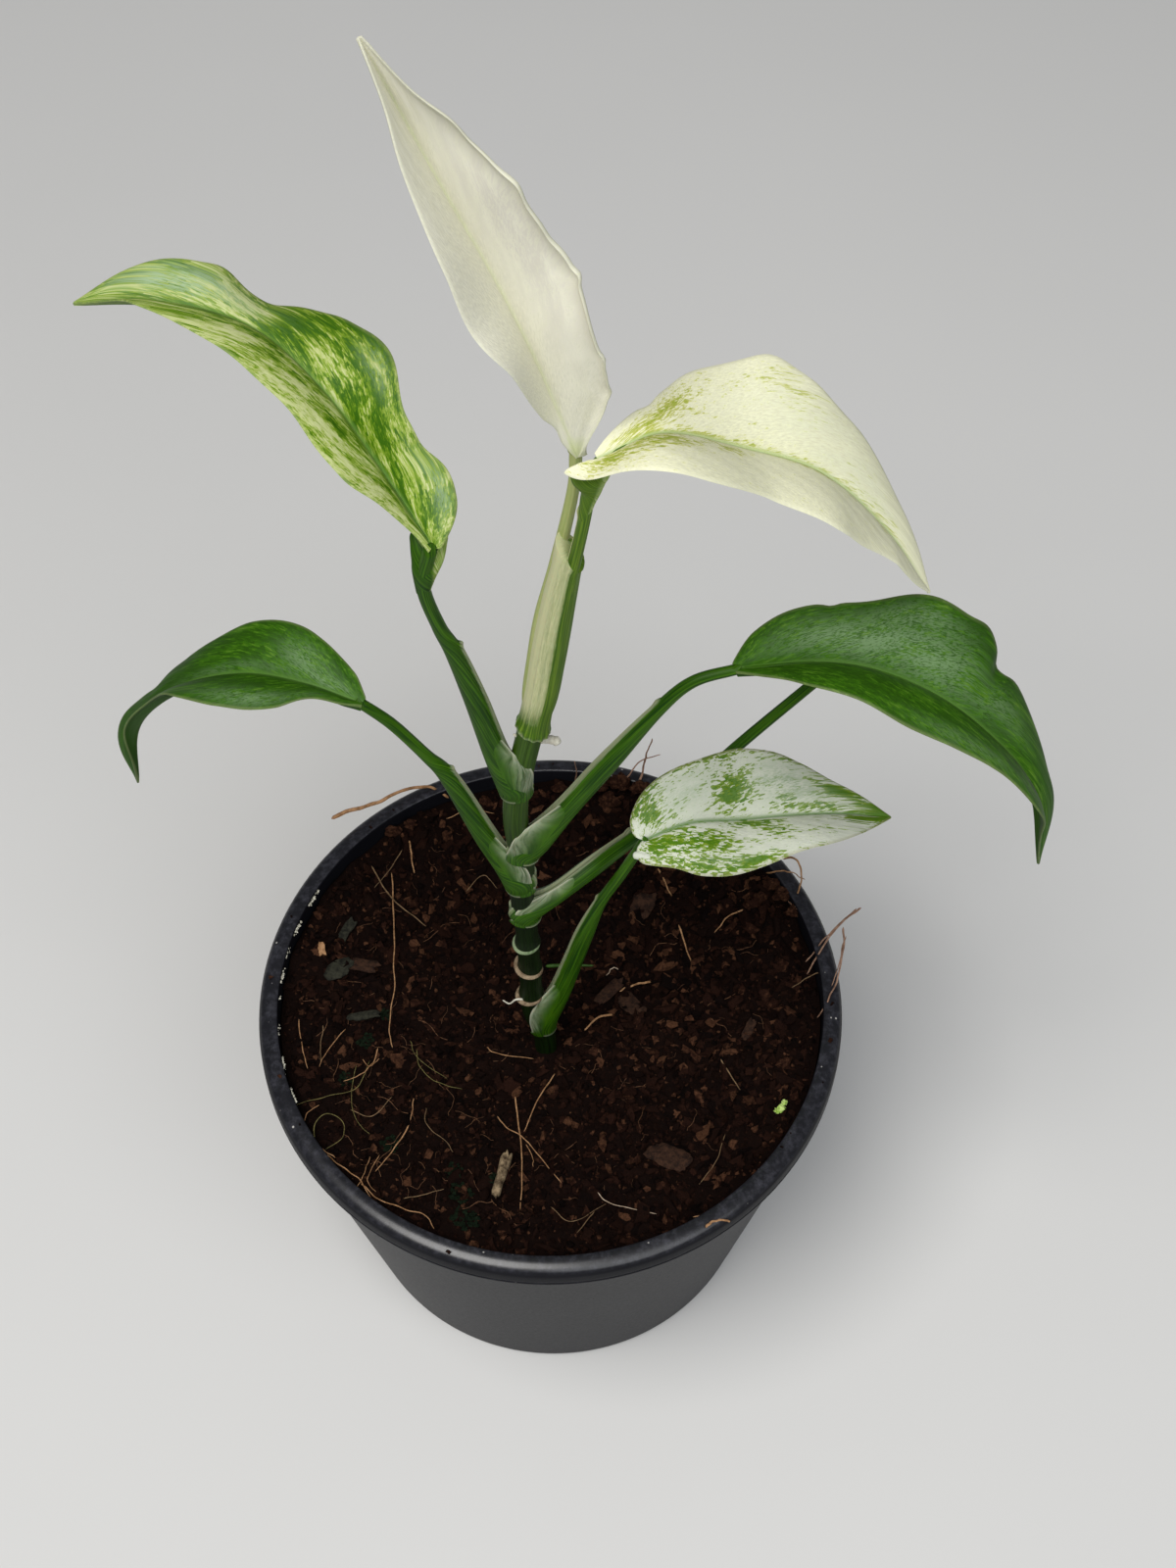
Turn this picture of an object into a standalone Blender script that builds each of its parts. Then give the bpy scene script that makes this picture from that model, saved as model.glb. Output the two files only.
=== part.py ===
"""A small potted monstera with narrow variegated leaves, in a plastic nursery pot.

The cane stands in a plain hole in the soil. Each leaf is one solid: a blade, its petiole
and the sheath that clasps the cane. The origin is the middle of the pot's base, +Z is up,
and -Y is the side that the plant shows best. Points in the tables are in millimetres.
"""

import math

import bmesh
import bpy
from mathutils import Vector, noise

MM = 0.001
GAP = 0.3 * MM

RIM_RADIUS = 65 * MM
BASE_RADIUS = 48 * MM
POT_HEIGHT = 93 * MM
POT_WALL = 1.2 * MM
FLOOR_THICKNESS = 1.8 * MM
RIM_BAND = 4.4 * MM
RIM_DEPTH = 6 * MM
POT_STEPS = 64
DRAIN_HOLES = 6
DRAIN_RADIUS = 4 * MM
DRAIN_CIRCLE = 32 * MM

SOIL_LEVEL = 88 * MM
SOIL_RELIEF = 1.6 * MM
SOIL_RINGS = 12
SOIL_STEPS = 48
SOIL_SEED = 7

CANE_RADIUS = 2.4
CANE_FOOT = 66
CANE_ROUTE = [(-1, -9.5, CANE_FOOT), (-1, -9.5, 88), (-1.5, -9.5, 96), (-3.5, -9.5, 106),
              (-3.8, -9.5, 122), (-4.2, -9.5, 141), (-4.8, -9.5, 155), (-4.4, -9.5, 167),
              (-5.3, -9.5, 180), (-5, -9.5, 190), (-4, -9.5, 198), (-1.5, -9.5, 213.5)]
CANE_POINTS = 30
BARE_RINGS = (110.5, 122.5, 133)
RING_RISE = 0.6
RING_HALF_HEIGHT = 0.7
ROOT_NUBS = [((-2.6, -9.5, 204.2), (1.4, -12.6, 204.8)), ((-3, -9.5, 203.6), (-6, -10.2, 205))]
NUB_RADII = (0.9, 0.5)

BLADE_ROWS = 16
BLADE_COLUMNS = (0.3, 0.6, 0.83, 1.0)
MARGIN_THICKNESS = 0.7
MIDRIB_THICKNESS = 1.7
MIDRIB_SHARE = (1.0, 0.15, 0.0, 0.0, 0.0)
ARCH = 0.09
TIP_SWEEP = math.radians(25)
PETIOLE_POINTS = 16
ENFOLDED = (("leaf_2_back", "leaf_3_left"), ("leaf_3_left", "leaf_4_right"),
            ("leaf_6_cream", "leaf_7_new"))

# spine: the midrib from blade base to tip. face: where the upper side looks.
# left and right, seen with the tip ahead and the upper side up: (width, fold in degrees)
# from base to tip at even steps, the tip itself left out. lobe: degrees that the first
# veins run backwards. petiole: the route from the cane to the blade, with its radii.
LEAVES = {
    "leaf_1_marbled": {
        "colour": (0.55, 0.62, 0.42), "lobe": 62, "face": (0, -0.2, 1),
        "spine": [(18.9, -8, 171.5), (28, -4, 171.5), (38, 0, 166.5), (48.5, 3, 163.5),
                  (58.5, 5, 161), (69.5, 7, 156.5)],
        "left": [(3, 10), (8.8, 20), (11.7, 25), (13.9, 20), (13.3, 15), (11, 5), (7.8, -5),
                 (3.9, 5)],
        "right": [(5, 5), (8.2, 5), (12.2, 5), (12.5, 20), (11.9, 30), (11.1, 35), (8, 30),
                  (4.1, 25)],
        "petiole": [(-1.3, -9.5, 93), (-1, -9.5, 98), (2.5, -9.3, 113.7), (5.3, -9.1, 126),
                    (7.9, -8.9, 138), (10.9, -8.8, 149.6), (15, -8.4, 160), (19.2, -7.9, 171.2)],
        "radii": [3.4, 3.4, 2.4, 2.1, 1.9, 1.2, 1.1, 1.0],
    },
    "leaf_2_back": {
        "colour": (0.10, 0.26, 0.06), "lobe": 30, "face": (-0.1, 0, 1),
        "spine": [(54, 24, 181.5), (63, 26, 183.5), (72, 28, 181.5), (80.5, 29.5, 177),
                  (88, 31, 170.5)],
        "left": [(2, 10), (6, 15), (8.6, 18), (9.4, 15), (9, 10), (7.6, 5), (5.4, 0), (2.8, 0)],
        "right": [(2, 10), (6, 15), (8.2, 15), (8.8, 15), (8.3, 15), (7, 12), (5, 10), (2.6, 8)],
        "petiole": [(-4.3, -9.5, 141.5), (-4, -9.5, 146), (1.5, -8.5, 152), (9.3, -4, 155.5),
                    (17.8, 4, 154.5), (28.2, 12, 157.3), (38.2, 18, 165.4), (54.4, 24.1, 181.2)],
        "radii": [3.4, 3.3, 2.2, 2.1, 1.7, 1.3, 1.2, 1.1],
    },
    "leaf_3_left": {
        "colour": (0.09, 0.25, 0.05), "lobe": 25, "face": (0, -0.2, 1),
        "spine": [(-31.8, -6, 214.4), (-42.3, -2, 215.2), (-54, 2, 212.7), (-66, 4, 206),
                  (-76.3, 4, 194), (-79.5, 4, 173.5)],
        "left": [(1.2, 30), (5, 45), (9.7, 27), (10.2, 27), (8.7, 42), (4.5, 62), (3.5, 75),
                 (2, 80)],
        "right": [(2, 10), (6.1, 10), (9.8, 10), (10.1, 5), (8.2, -10), (7, -22), (4.4, -22),
                  (3.8, 5)],
        "petiole": [(-4.9, -9.5, 153.6), (-5.2, -9.5, 158), (-8.7, -8.8, 167), (-11.7, -8.4, 175),
                    (-17.4, -7.8, 193), (-21.2, -7.4, 199.7), (-26.9, -6.7, 208.7),
                    (-32.2, -5.9, 214.2)],
        "radii": [3.3, 3.4, 2.4, 2.2, 1.7, 1.2, 1.1, 1.0],
    },
    "leaf_4_right": {
        "colour": (0.09, 0.25, 0.05), "lobe": 50, "face": (0.2, -0.2, 1),
        "spine": [(37, -4, 222.8), (51, -6, 226.6), (64.5, -9, 225), (77, -13, 217.7),
                  (87.6, -18, 205.4), (91.6, -22, 185.5)],
        "left": [(3, 10), (8.9, 20), (10.9, 18), (15.1, 22), (14, 10), (12.4, -5), (8.6, -13),
                 (5, -5)],
        "right": [(2.5, 20), (5.9, 35), (10.1, 30), (11.8, 22), (11.5, 25), (10.4, 35), (9.4, 40),
                  (4, 48)],
        "petiole": [(-4.3, -9.5, 165), (-4, -9.5, 169.5), (-1.4, -9.1, 174), (4.6, -8.2, 184),
                    (12.3, -7.4, 198), (20.9, -6.1, 212.5), (27.3, -5, 219.6),
                    (37.4, -4, 222.5)],
        "radii": [3.4, 3.5, 3.0, 2.2, 2.0, 1.3, 1.1, 1.0],
    },
    "leaf_5_mottled": {
        "colour": (0.28, 0.40, 0.13), "lobe": 25, "face": (0, -0.3, 1),
        "spine": [(-17.3, -9, 262.2), (-25, 2, 269), (-34, 12, 275.6), (-45, 20, 281.4),
                  (-60, 26, 281.4), (-76.3, 30, 277)],
        "left": [(1.5, 30), (7.2, 50), (10.2, 42), (10.7, 43), (11.1, 40), (9.6, 38), (6.8, 45),
                 (2.4, 60)],
        "right": [(4, 10), (8.8, 12), (9, 40), (12.1, 10), (10.4, -20), (8.5, -32), (7.9, 5),
                  (5.1, 15)],
        "petiole": [(-5.1, -9.5, 185.5), (-5.2, -9.5, 190), (-8.2, -9.4, 203), (-11.4, -9.4, 220),
                    (-14.5, -9.3, 234), (-16.7, -9.2, 241), (-18.7, -9.2, 253),
                    (-17, -9, 262.4)],
        "radii": [3.5, 3.5, 2.4, 2.0, 1.6, 1.2, 1.1, 1.0],
    },
    "leaf_6_cream": {
        "colour": (0.74, 0.74, 0.55), "lobe": 75, "face": (0.1, -0.1, 1),
        "spine": [(8.8, -14, 286), (19.5, -9, 288.5), (32.3, -4, 280), (45.2, -2, 272),
                  (56.2, -3, 260), (65.5, -6, 246)],
        "left": [(4, 0), (3.8, -20), (8.9, -5), (14.5, 14), (14.2, 22), (11.2, 15), (7.9, 5),
                 (4.4, 0)],
        "right": [(5, 25), (8.2, 30), (12.6, 17), (12.4, 15), (13.8, 15), (12.8, 16), (9, 20),
                  (5.6, 28)],
        "petiole": [(-2.2, -9.5, 207.2), (-1.4, -9.5, 211.5), (1.1, -9.7, 221.5), (2.6, -10.2, 232),
                    (4, -10.9, 245), (5.6, -11.8, 257.5), (7.4, -13, 272), (9.4, -13.8, 285.8)],
        "radii": [3.4, 3.5, 2.6, 2.2, 1.9, 1.5, 1.2, 1.1],
    },
    "leaf_7_new": {
        "colour": (0.80, 0.82, 0.70), "lobe": 10, "face": (0.25, -0.93, 0.25),
        "spine": [(6.7, -8.6, 285), (0.9, -6, 300), (-5, -2.5, 314), (-11, 0, 326.7),
                  (-16.6, 2, 339.5), (-21.6, 2, 353)],
        "left": [(1.2, 70), (3.4, 80), (10.3, 70), (12.4, 61), (12, 65), (9.9, 65), (7.6, 67),
                 (3.7, 72)],
        "right": [(1.4, 20), (8.7, 25), (10.7, 33), (12, 27), (11, 30), (9.9, 34), (7.4, 36),
                  (3.4, 45)],
        "petiole": [(-1.7, -9.5, 214.2), (-1.9, -9.5, 222), (-1, -9.5, 232), (0.5, -9.4, 244),
                    (3, -9.2, 258), (5.7, -8.9, 276), (6.4, -8.6, 286)],
        "radii": [1.4, 1.3, 1.2, 1.15, 1.1, 1.1, 0.9],
    },
}


def clear_scene():
    for obj in list(bpy.data.objects):
        bpy.data.objects.remove(obj, do_unlink=True)


def make_collection(name, hidden=False):
    collection = bpy.data.collections.new(name)
    bpy.context.scene.collection.children.link(collection)
    collection.hide_render = hidden
    return collection


def make_material(name, colour, roughness, metallic=0.0):
    material = bpy.data.materials.new(name)
    material.use_nodes = True
    shader = material.node_tree.nodes["Principled BSDF"]
    shader.inputs["Base Color"].default_value = (*colour, 1)
    shader.inputs["Roughness"].default_value = roughness
    shader.inputs["Metallic"].default_value = metallic
    material.diffuse_color = (*colour, 1)
    return material


def smooth(points, t):
    """The Catmull-Rom curve through evenly spaced points, at t from 0 to 1."""
    points = [Vector(point) for point in points]
    points = [2 * points[0] - points[1], *points, 2 * points[-1] - points[-2]]
    place = t * (len(points) - 3)
    i = min(int(place), len(points) - 4)
    u = place - i
    a, b, c, d = points[i:i + 4]
    return 0.5 * (2 * b + (c - a) * u + (2 * a - 5 * b + 4 * c - d) * u ** 2
                  + (3 * b - a - 3 * c + d) * u ** 3)


def link_mesh(name, mesh, collection, material=None):
    obj = bpy.data.objects.new(name, mesh)
    collection.objects.link(obj)
    if material:
        mesh.materials.append(material)
    mesh.shade_smooth()
    mesh.set_sharp_from_angle(angle=math.radians(40))
    return obj


def tube(name, points, radii, collection, sides=10):
    """A closed tube along points in millimetres, made a mesh so that Booleans can use it."""
    curve = bpy.data.curves.new(name, "CURVE")
    curve.dimensions = "3D"
    curve.bevel_depth = MM
    curve.bevel_resolution = sides // 2 - 2
    curve.use_fill_caps = True
    spline = curve.splines.new("POLY")
    spline.points.add(len(points) - 1)
    for end, point, radius in zip(spline.points, points, radii):
        end.co = (*(Vector(point) * MM), 1)
        end.radius = radius
    guide = bpy.data.objects.new(name + "_guide", curve)
    collection.objects.link(guide)
    mesh = bpy.data.meshes.new_from_object(guide.evaluated_get(bpy.context.evaluated_depsgraph_get()))
    bpy.data.objects.remove(guide)
    shape = bmesh.new()
    shape.from_mesh(mesh)
    bmesh.ops.remove_doubles(shape, verts=shape.verts, dist=0.01 * MM)
    bmesh.ops.recalc_face_normals(shape, faces=shape.faces)
    shape.to_mesh(mesh)
    shape.free()
    mesh.name = name
    return link_mesh(name, mesh, collection)


def boolean(obj, other, operation):
    """Joins or cuts at once, and removes the other object."""
    modifier = obj.modifiers.new(operation.lower(), "BOOLEAN")
    modifier.operation = operation
    modifier.object = other
    bpy.context.view_layer.update()
    mesh = bpy.data.meshes.new_from_object(obj.evaluated_get(bpy.context.evaluated_depsgraph_get()))
    obj.modifiers.clear()
    obj.data = mesh
    bpy.data.objects.remove(other)


def rim_profile():
    """The pot's section from the floor's middle, up the inside, over the rim and down outside."""
    under_rim = POT_HEIGHT - RIM_DEPTH
    taper = (RIM_RADIUS - 1.6 * MM - BASE_RADIUS) / under_rim
    inner_base = BASE_RADIUS + FLOOR_THICKNESS * taper - POT_WALL
    return [(0, FLOOR_THICKNESS), (inner_base, FLOOR_THICKNESS),
            (RIM_RADIUS - RIM_BAND, under_rim),
            (RIM_RADIUS - RIM_BAND, POT_HEIGHT - 0.7 * MM),
            (RIM_RADIUS - RIM_BAND + 0.8 * MM, POT_HEIGHT),
            (RIM_RADIUS - 1.6 * MM, POT_HEIGHT - 0.4 * MM),
            (RIM_RADIUS - 0.3 * MM, POT_HEIGHT - 1.7 * MM),
            (RIM_RADIUS, POT_HEIGHT - 3 * MM),
            (RIM_RADIUS, POT_HEIGHT - 5.2 * MM),
            (RIM_RADIUS - 0.4 * MM, under_rim),
            (RIM_RADIUS - 1.6 * MM, under_rim),
            (BASE_RADIUS + 0.9 * MM, 1.6 * MM),
            (BASE_RADIUS - 0.8 * MM, 0),
            (0, 0)]


def make_pot(parts, cutters):
    mesh = bpy.data.meshes.new("pot")
    profile = rim_profile()
    mesh.from_pydata([(x, 0, z) for x, z in profile],
                     [(i, i + 1) for i in range(len(profile) - 1)], [])
    pot = bpy.data.objects.new("pot", mesh)
    parts.objects.link(pot)
    mesh.materials.append(make_material("pot_plastic", (0.016, 0.017, 0.021), 0.42))
    turn = pot.modifiers.new("turn", "SCREW")
    turn.steps = turn.render_steps = POT_STEPS
    turn.use_merge_vertices = True
    turn.merge_threshold = 0.02 * MM
    turn.use_smooth_shade = True
    for k in range(DRAIN_HOLES):
        angle = 2 * math.pi * (k + 0.5) / DRAIN_HOLES
        bpy.ops.mesh.primitive_cylinder_add(
            vertices=20, radius=DRAIN_RADIUS, depth=6 * FLOOR_THICKNESS,
            location=(DRAIN_CIRCLE * math.cos(angle), DRAIN_CIRCLE * math.sin(angle), 0))
        cutter = bpy.context.object
        cutter.name = f"drain_cutter_{k + 1}"
        cutter.display_type = "WIRE"
        cutter.hide_render = True
        for home in cutter.users_collection:
            home.objects.unlink(cutter)
        cutters.objects.link(cutter)
        hole = pot.modifiers.new(f"drain_{k + 1}", "BOOLEAN")
        hole.operation = "DIFFERENCE"
        hole.object = cutter
    return pot


def inner_radius(z):
    """The radius inside the pot's wall at a height, less the gap."""
    under_rim = POT_HEIGHT - RIM_DEPTH
    profile = rim_profile()
    low, high = profile[1], profile[2]
    share = min((z - low[1]) / (under_rim - low[1]), 1)
    return low[0] + (high[0] - low[0]) * share - GAP


def soil_height(x, y):
    """The bumpy top of the soil, heaped a little at the back and right of the rim."""
    place = Vector((x / (9 * MM), y / (9 * MM), SOIL_SEED))
    bumps = noise.noise(place) + 0.6 * noise.noise(2.3 * place)
    heap = math.exp(-((x - 16 * MM) ** 2 + (y - 56 * MM) ** 2) / (22 * MM) ** 2)
    bank = math.exp(-((x - 54 * MM) ** 2 + (y - 30 * MM) ** 2) / (16 * MM) ** 2)
    return SOIL_LEVEL + SOIL_RELIEF * bumps + 1.6 * MM * (heap + bank)


def make_soil(parts, cane_cutter):
    shape = bmesh.new()
    top_radius = inner_radius(POT_HEIGHT)
    bmesh.ops.create_circle(shape, cap_ends=False, segments=SOIL_STEPS, radius=top_radius)
    ring = list(shape.verts)
    bottom = [shape.verts.new((*(v.co.xy.normalized() * inner_radius(FLOOR_THICKNESS + GAP)),
                               FLOOR_THICKNESS + GAP)) for v in ring]
    wall = [shape.verts.new((*v.co.xy, POT_HEIGHT - RIM_DEPTH - GAP)) for v in ring]
    for lower, upper in ((bottom, wall), (wall, ring)):
        for k in range(SOIL_STEPS):
            after = (k + 1) % SOIL_STEPS
            shape.faces.new((lower[k], lower[after], upper[after], upper[k]))
    shape.faces.new(list(reversed(bottom)))
    outer = ring
    for row in range(SOIL_RINGS - 1, 0, -1):
        share = row / SOIL_RINGS
        inner = [shape.verts.new((v.co.x * share, v.co.y * share, 0)) for v in ring]
        for k in range(SOIL_STEPS):
            after = (k + 1) % SOIL_STEPS
            shape.faces.new((outer[k], outer[after], inner[after], inner[k]))
        outer = inner
    middle = shape.verts.new((0, 0, 0))
    for k in range(SOIL_STEPS):
        shape.faces.new((outer[k], outer[(k + 1) % SOIL_STEPS], middle))
    for v in shape.verts:
        if v not in bottom and v not in wall:
            v.co.z = soil_height(v.co.x, v.co.y)
    bmesh.ops.triangulate(shape, faces=shape.faces)
    bmesh.ops.recalc_face_normals(shape, faces=shape.faces)
    mesh = bpy.data.meshes.new("soil")
    shape.to_mesh(mesh)
    shape.free()
    soil = link_mesh("soil", mesh, parts, make_material("soil_mix", (0.035, 0.018, 0.012), 0.95))
    hole = soil.modifiers.new("cane_hole", "BOOLEAN")
    hole.operation = "DIFFERENCE"
    hole.object = cane_cutter
    return soil


def cane_route(extra=0.0):
    """The cane's centre line and radii, with a ring at each bare node."""
    points = [smooth(CANE_ROUTE, k / (CANE_POINTS - 1)) for k in range(CANE_POINTS)]
    heights = [point.z for point in points]
    stops = [(point, CANE_RADIUS) for point in points]
    for ring in BARE_RINGS:
        k = next(k for k, z in enumerate(heights) if z > ring)
        share = (ring - heights[k - 1]) / (heights[k] - heights[k - 1])
        centre = points[k - 1].lerp(points[k], share)
        stops = [stop for stop in stops if abs(stop[0].z - ring) > 2 * RING_HALF_HEIGHT]
        for step, rise in ((-1, 0), (-0.35, RING_RISE), (0.35, RING_RISE), (1, 0)):
            stops.append((centre + Vector((0, 0, step * RING_HALF_HEIGHT)), CANE_RADIUS + rise))
    stops.sort(key=lambda stop: stop[0].z)
    return [stop[0] for stop in stops], [stop[1] + extra for stop in stops]


def make_cane(parts):
    cane = tube("cane", *cane_route(), parts, sides=12)
    for k, (foot, end) in enumerate(ROOT_NUBS):
        nub = tube(f"nub_{k + 1}", [foot, end], NUB_RADII, parts, sides=8)
        boolean(cane, nub, "UNION")
    cane.data.materials.append(make_material("cane_green", (0.05, 0.16, 0.03), 0.35))
    return cane


def make_cane_cutter(cutters):
    points, radii = cane_route(extra=GAP / MM)
    points[0] = points[0] - Vector((0, 0, GAP / MM))
    points[-1] = points[-1] + Vector((0, 0, GAP / MM))
    cutter = tube("cane_cutter", points, radii, cutters, sides=12)
    cutter.display_type = "WIRE"
    cutter.hide_render = True
    return cutter


def blade_frame(leaf, t):
    """The midrib's point, direction, right-hand side and upper side at t."""
    step = 0.002
    spine = leaf["spine"]
    along = (smooth(spine, min(t + step, 1)) - smooth(spine, max(t - step, 0))).normalized()
    side = along.cross(Vector(leaf["face"])).normalized()
    return smooth(spine, t), along, side, side.cross(along)


def blade_point(leaf, t, s):
    """The upper face at t along the midrib and s across, -1 at the left margin, 1 at the right."""
    centre, along, side, up = blade_frame(leaf, t)
    margin = leaf["left" if s < 0 else "right"]
    width, fold = smooth([*margin, (0, margin[-1][1])], t)
    fold = math.radians(fold)
    sweep = TIP_SWEEP * t - math.radians(leaf["lobe"]) * (1 - t) ** 6
    out = side * math.copysign(math.cos(fold), s) + up * math.sin(fold)
    reach = max(width, 0) * abs(s)
    lift = 4 * ARCH * width * abs(s) * (1 - abs(s))
    return centre + reach * (out * math.cos(sweep) + along * math.sin(sweep)) + up * lift


def blade_mesh(leaf):
    """One blade face in triangles, mirrored about the midrib, with how thick each point is."""
    across = [-s for s in reversed(BLADE_COLUMNS)] + [0, *BLADE_COLUMNS]
    thick = [*reversed(MIDRIB_SHARE[1:]), *MIDRIB_SHARE]
    shape = bmesh.new()
    rows = []
    for row in range(BLADE_ROWS):
        t = row / BLADE_ROWS
        rows.append([shape.verts.new(blade_point(leaf, t, s) * MM) for s in across])
    tip = shape.verts.new(blade_point(leaf, 1, 0) * MM)
    middle = len(BLADE_COLUMNS)
    for near, far in zip(rows, rows[1:]):
        for k in range(len(across) - 1):
            a, b, c, d = near[k], near[k + 1], far[k + 1], far[k]
            halves = ((a, b, c), (a, c, d)) if k < middle else ((a, b, d), (b, c, d))
            for half in halves:
                shape.faces.new(half)
    for k in range(len(across) - 1):
        shape.faces.new((rows[-1][k], rows[-1][k + 1], tip))
    mesh = bpy.data.meshes.new("blade")
    shape.to_mesh(mesh)
    shape.free()
    return mesh, thick


def make_blade(name, leaf, parts):
    mesh, thick = blade_mesh(leaf)
    blade = link_mesh(name, mesh, parts)
    group = blade.vertex_groups.new(name="thickness")
    for index in range(len(mesh.vertices)):
        share = thick[index % len(thick)] if index < BLADE_ROWS * len(thick) else 0
        fade = 1 - (index // len(thick)) / BLADE_ROWS
        group.add([index], share * fade, "REPLACE")
    skin = blade.modifiers.new("thickness", "SOLIDIFY")
    skin.thickness = MIDRIB_THICKNESS * MM
    skin.offset = -1
    skin.vertex_group = "thickness"
    skin.thickness_vertex_group = MARGIN_THICKNESS / MIDRIB_THICKNESS
    bpy.context.view_layer.update()
    solid = bpy.data.meshes.new_from_object(
        blade.evaluated_get(bpy.context.evaluated_depsgraph_get()))
    blade.modifiers.clear()
    blade.data = solid
    return blade


def petiole_route(leaf, extra=0.0):
    steps = [k / (PETIOLE_POINTS - 1) for k in range(PETIOLE_POINTS)]
    points = [smooth(leaf["petiole"], t) for t in steps]
    radii = [smooth([(radius, 0) for radius in leaf["radii"]], t)[0] + extra for t in steps]
    return points, radii


def make_leaf(name, parts, cane_cutter):
    leaf = LEAVES[name]
    blade = make_blade(name, leaf, parts)
    stalk = tube(name + "_stalk", *petiole_route(leaf), parts)
    boolean(blade, stalk, "UNION")
    blade.data.materials.clear()
    blade.data.materials.append(make_material(name + "_skin", leaf["colour"], 0.4))
    clasp = blade.modifiers.new("cane_clasp", "BOOLEAN")
    clasp.operation = "DIFFERENCE"
    clasp.object = cane_cutter
    return blade


def make_channel(sheath, inner, cutters):
    """Opens the sheath where it enfolds the next leaf's stalk."""
    cutter = tube(inner + "_cutter", *petiole_route(LEAVES[inner], GAP / MM), cutters)
    cutter.display_type = "WIRE"
    cutter.hide_render = True
    channel = sheath.modifiers.new("channel", "BOOLEAN")
    channel.operation = "DIFFERENCE"
    channel.object = cutter


def main():
    clear_scene()
    parts = make_collection("potted_monstera")
    cutters = make_collection("cutters", hidden=True)
    cane_cutter = make_cane_cutter(cutters)
    make_pot(parts, cutters)
    make_soil(parts, cane_cutter)
    make_cane(parts)
    leaves = {name: make_leaf(name, parts, cane_cutter) for name in LEAVES}
    for outer, inner in ENFOLDED:
        make_channel(leaves[outer], inner, cutters)


main()
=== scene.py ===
"""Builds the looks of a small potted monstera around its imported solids.

The leaves, stalks, cane, pot and soil stand for their solids at the same places, and the
litter, fibres, moss and rootlets lie on them. Sizes are in millimetres and colours are linear.
"""

import math

import bmesh
import bpy
import numpy as np
from bpy.props import FloatProperty, FloatVectorProperty, PointerProperty
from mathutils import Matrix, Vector, noise


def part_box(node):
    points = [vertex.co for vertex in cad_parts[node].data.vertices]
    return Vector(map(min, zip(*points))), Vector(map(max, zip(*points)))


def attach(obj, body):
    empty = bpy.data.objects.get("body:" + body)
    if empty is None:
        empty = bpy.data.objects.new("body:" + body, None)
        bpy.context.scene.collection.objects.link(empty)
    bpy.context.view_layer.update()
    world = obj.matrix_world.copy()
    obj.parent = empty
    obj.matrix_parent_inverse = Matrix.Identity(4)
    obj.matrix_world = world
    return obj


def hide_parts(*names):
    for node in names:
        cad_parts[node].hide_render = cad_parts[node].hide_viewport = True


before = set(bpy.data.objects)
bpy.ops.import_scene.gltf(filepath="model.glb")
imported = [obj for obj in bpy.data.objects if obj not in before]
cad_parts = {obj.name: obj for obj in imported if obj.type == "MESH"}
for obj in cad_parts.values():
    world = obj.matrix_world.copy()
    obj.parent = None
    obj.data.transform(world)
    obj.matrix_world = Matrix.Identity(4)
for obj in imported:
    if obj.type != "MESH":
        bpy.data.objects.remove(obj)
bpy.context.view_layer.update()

bl_info = {
    "name": "Potted Monstera",
    "version": (1, 0, 0),
    "blender": (4, 5, 0),
    "location": "View3D > Sidebar > Monstera",
    "description": "Builds a young variegated monstera in a nursery pot",
    "category": "Add Mesh",
}

MM = 0.001
BODY = "root"

RIM_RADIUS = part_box("pot")[1].x / MM
POT_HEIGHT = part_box("pot")[1].z / MM
BASE_RADIUS = 48
POT_WALL = 1.2
FLOOR_THICKNESS = 1.8
RIM_BAND = 4.4
RIM_DEPTH = 6
RIM_STEP = 1.6
UNDER_RIM = POT_HEIGHT - RIM_DEPTH
INNER_RADIUS = RIM_RADIUS - RIM_BAND
POT_TAPER = (RIM_RADIUS - RIM_STEP - BASE_RADIUS) / UNDER_RIM
INNER_BASE = BASE_RADIUS + FLOOR_THICKNESS * POT_TAPER - POT_WALL
POT_STEPS = 192
CORNER_STEPS = 6
DRAIN_HOLES = 6
DRAIN_RADIUS = 4
DRAIN_CIRCLE = 32
DRAIN_STEPS = 32
DUST_SCALE = 0.42
SHARP_EDGE = math.radians(50)

SOIL_LEVEL = 88
SOIL_RELIEF = 1.6
SOIL_SEED = 7
SOIL_GAP = 0.3
SOIL_RADIUS = INNER_RADIUS - SOIL_GAP
SOIL_RINGS = 84
SOIL_STEPS = 240
# The soil bed's low tint is painted shade between the crumbs that lie on it.
SHADED_SOIL_TINT = 0.22
CLOD_TINT = 0.88
HEAP_HEIGHT = 1.6
HEAPS = [(16, 56, 22), (54, 30, 16)]  # x, y, reach
LITTER_RADIUS = SOIL_RADIUS - 0.8
LITTER_VARIANTS = 5
STEM_CLEARANCE = (3.2, 4.6)
LUMP_ROWS = 11
LUMP_SIDES = 20
MOSS_TUFTS = 16
MOSS_TURN = 2.4
TUFT_SPREAD = 0.15
TUFT_SIZE = 0.28
STRAND_ROWS = 8
STRAND_SIDE = (0.31, 0.27, 0.91)
FIBRE_TAPER = (0.6, 0.38)
FIBRE_LIFT = 0.5
ROOT_TAPER = (0.8, 0.7)

CANE_RADIUS = 2.4
CANE_ROUTE = [(-1, -9.5, 66), (-1, -9.5, 88), (-1.5, -9.5, 96), (-3.5, -9.5, 106),
              (-3.8, -9.5, 122), (-4.2, -9.5, 141), (-4.8, -9.5, 155), (-4.4, -9.5, 167),
              (-5.3, -9.5, 180), (-5, -9.5, 190), (-4, -9.5, 198), (-1.5, -9.5, 213.5)]
CANE_ROWS = 260
CANE_SIDES = 48
NODE_SHAPE = [(0, 0.32, 1.3), (4.5, -0.12, 3.0)]  # height over a scar, swelling, reach
SCAR_STEPS = 72
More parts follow.
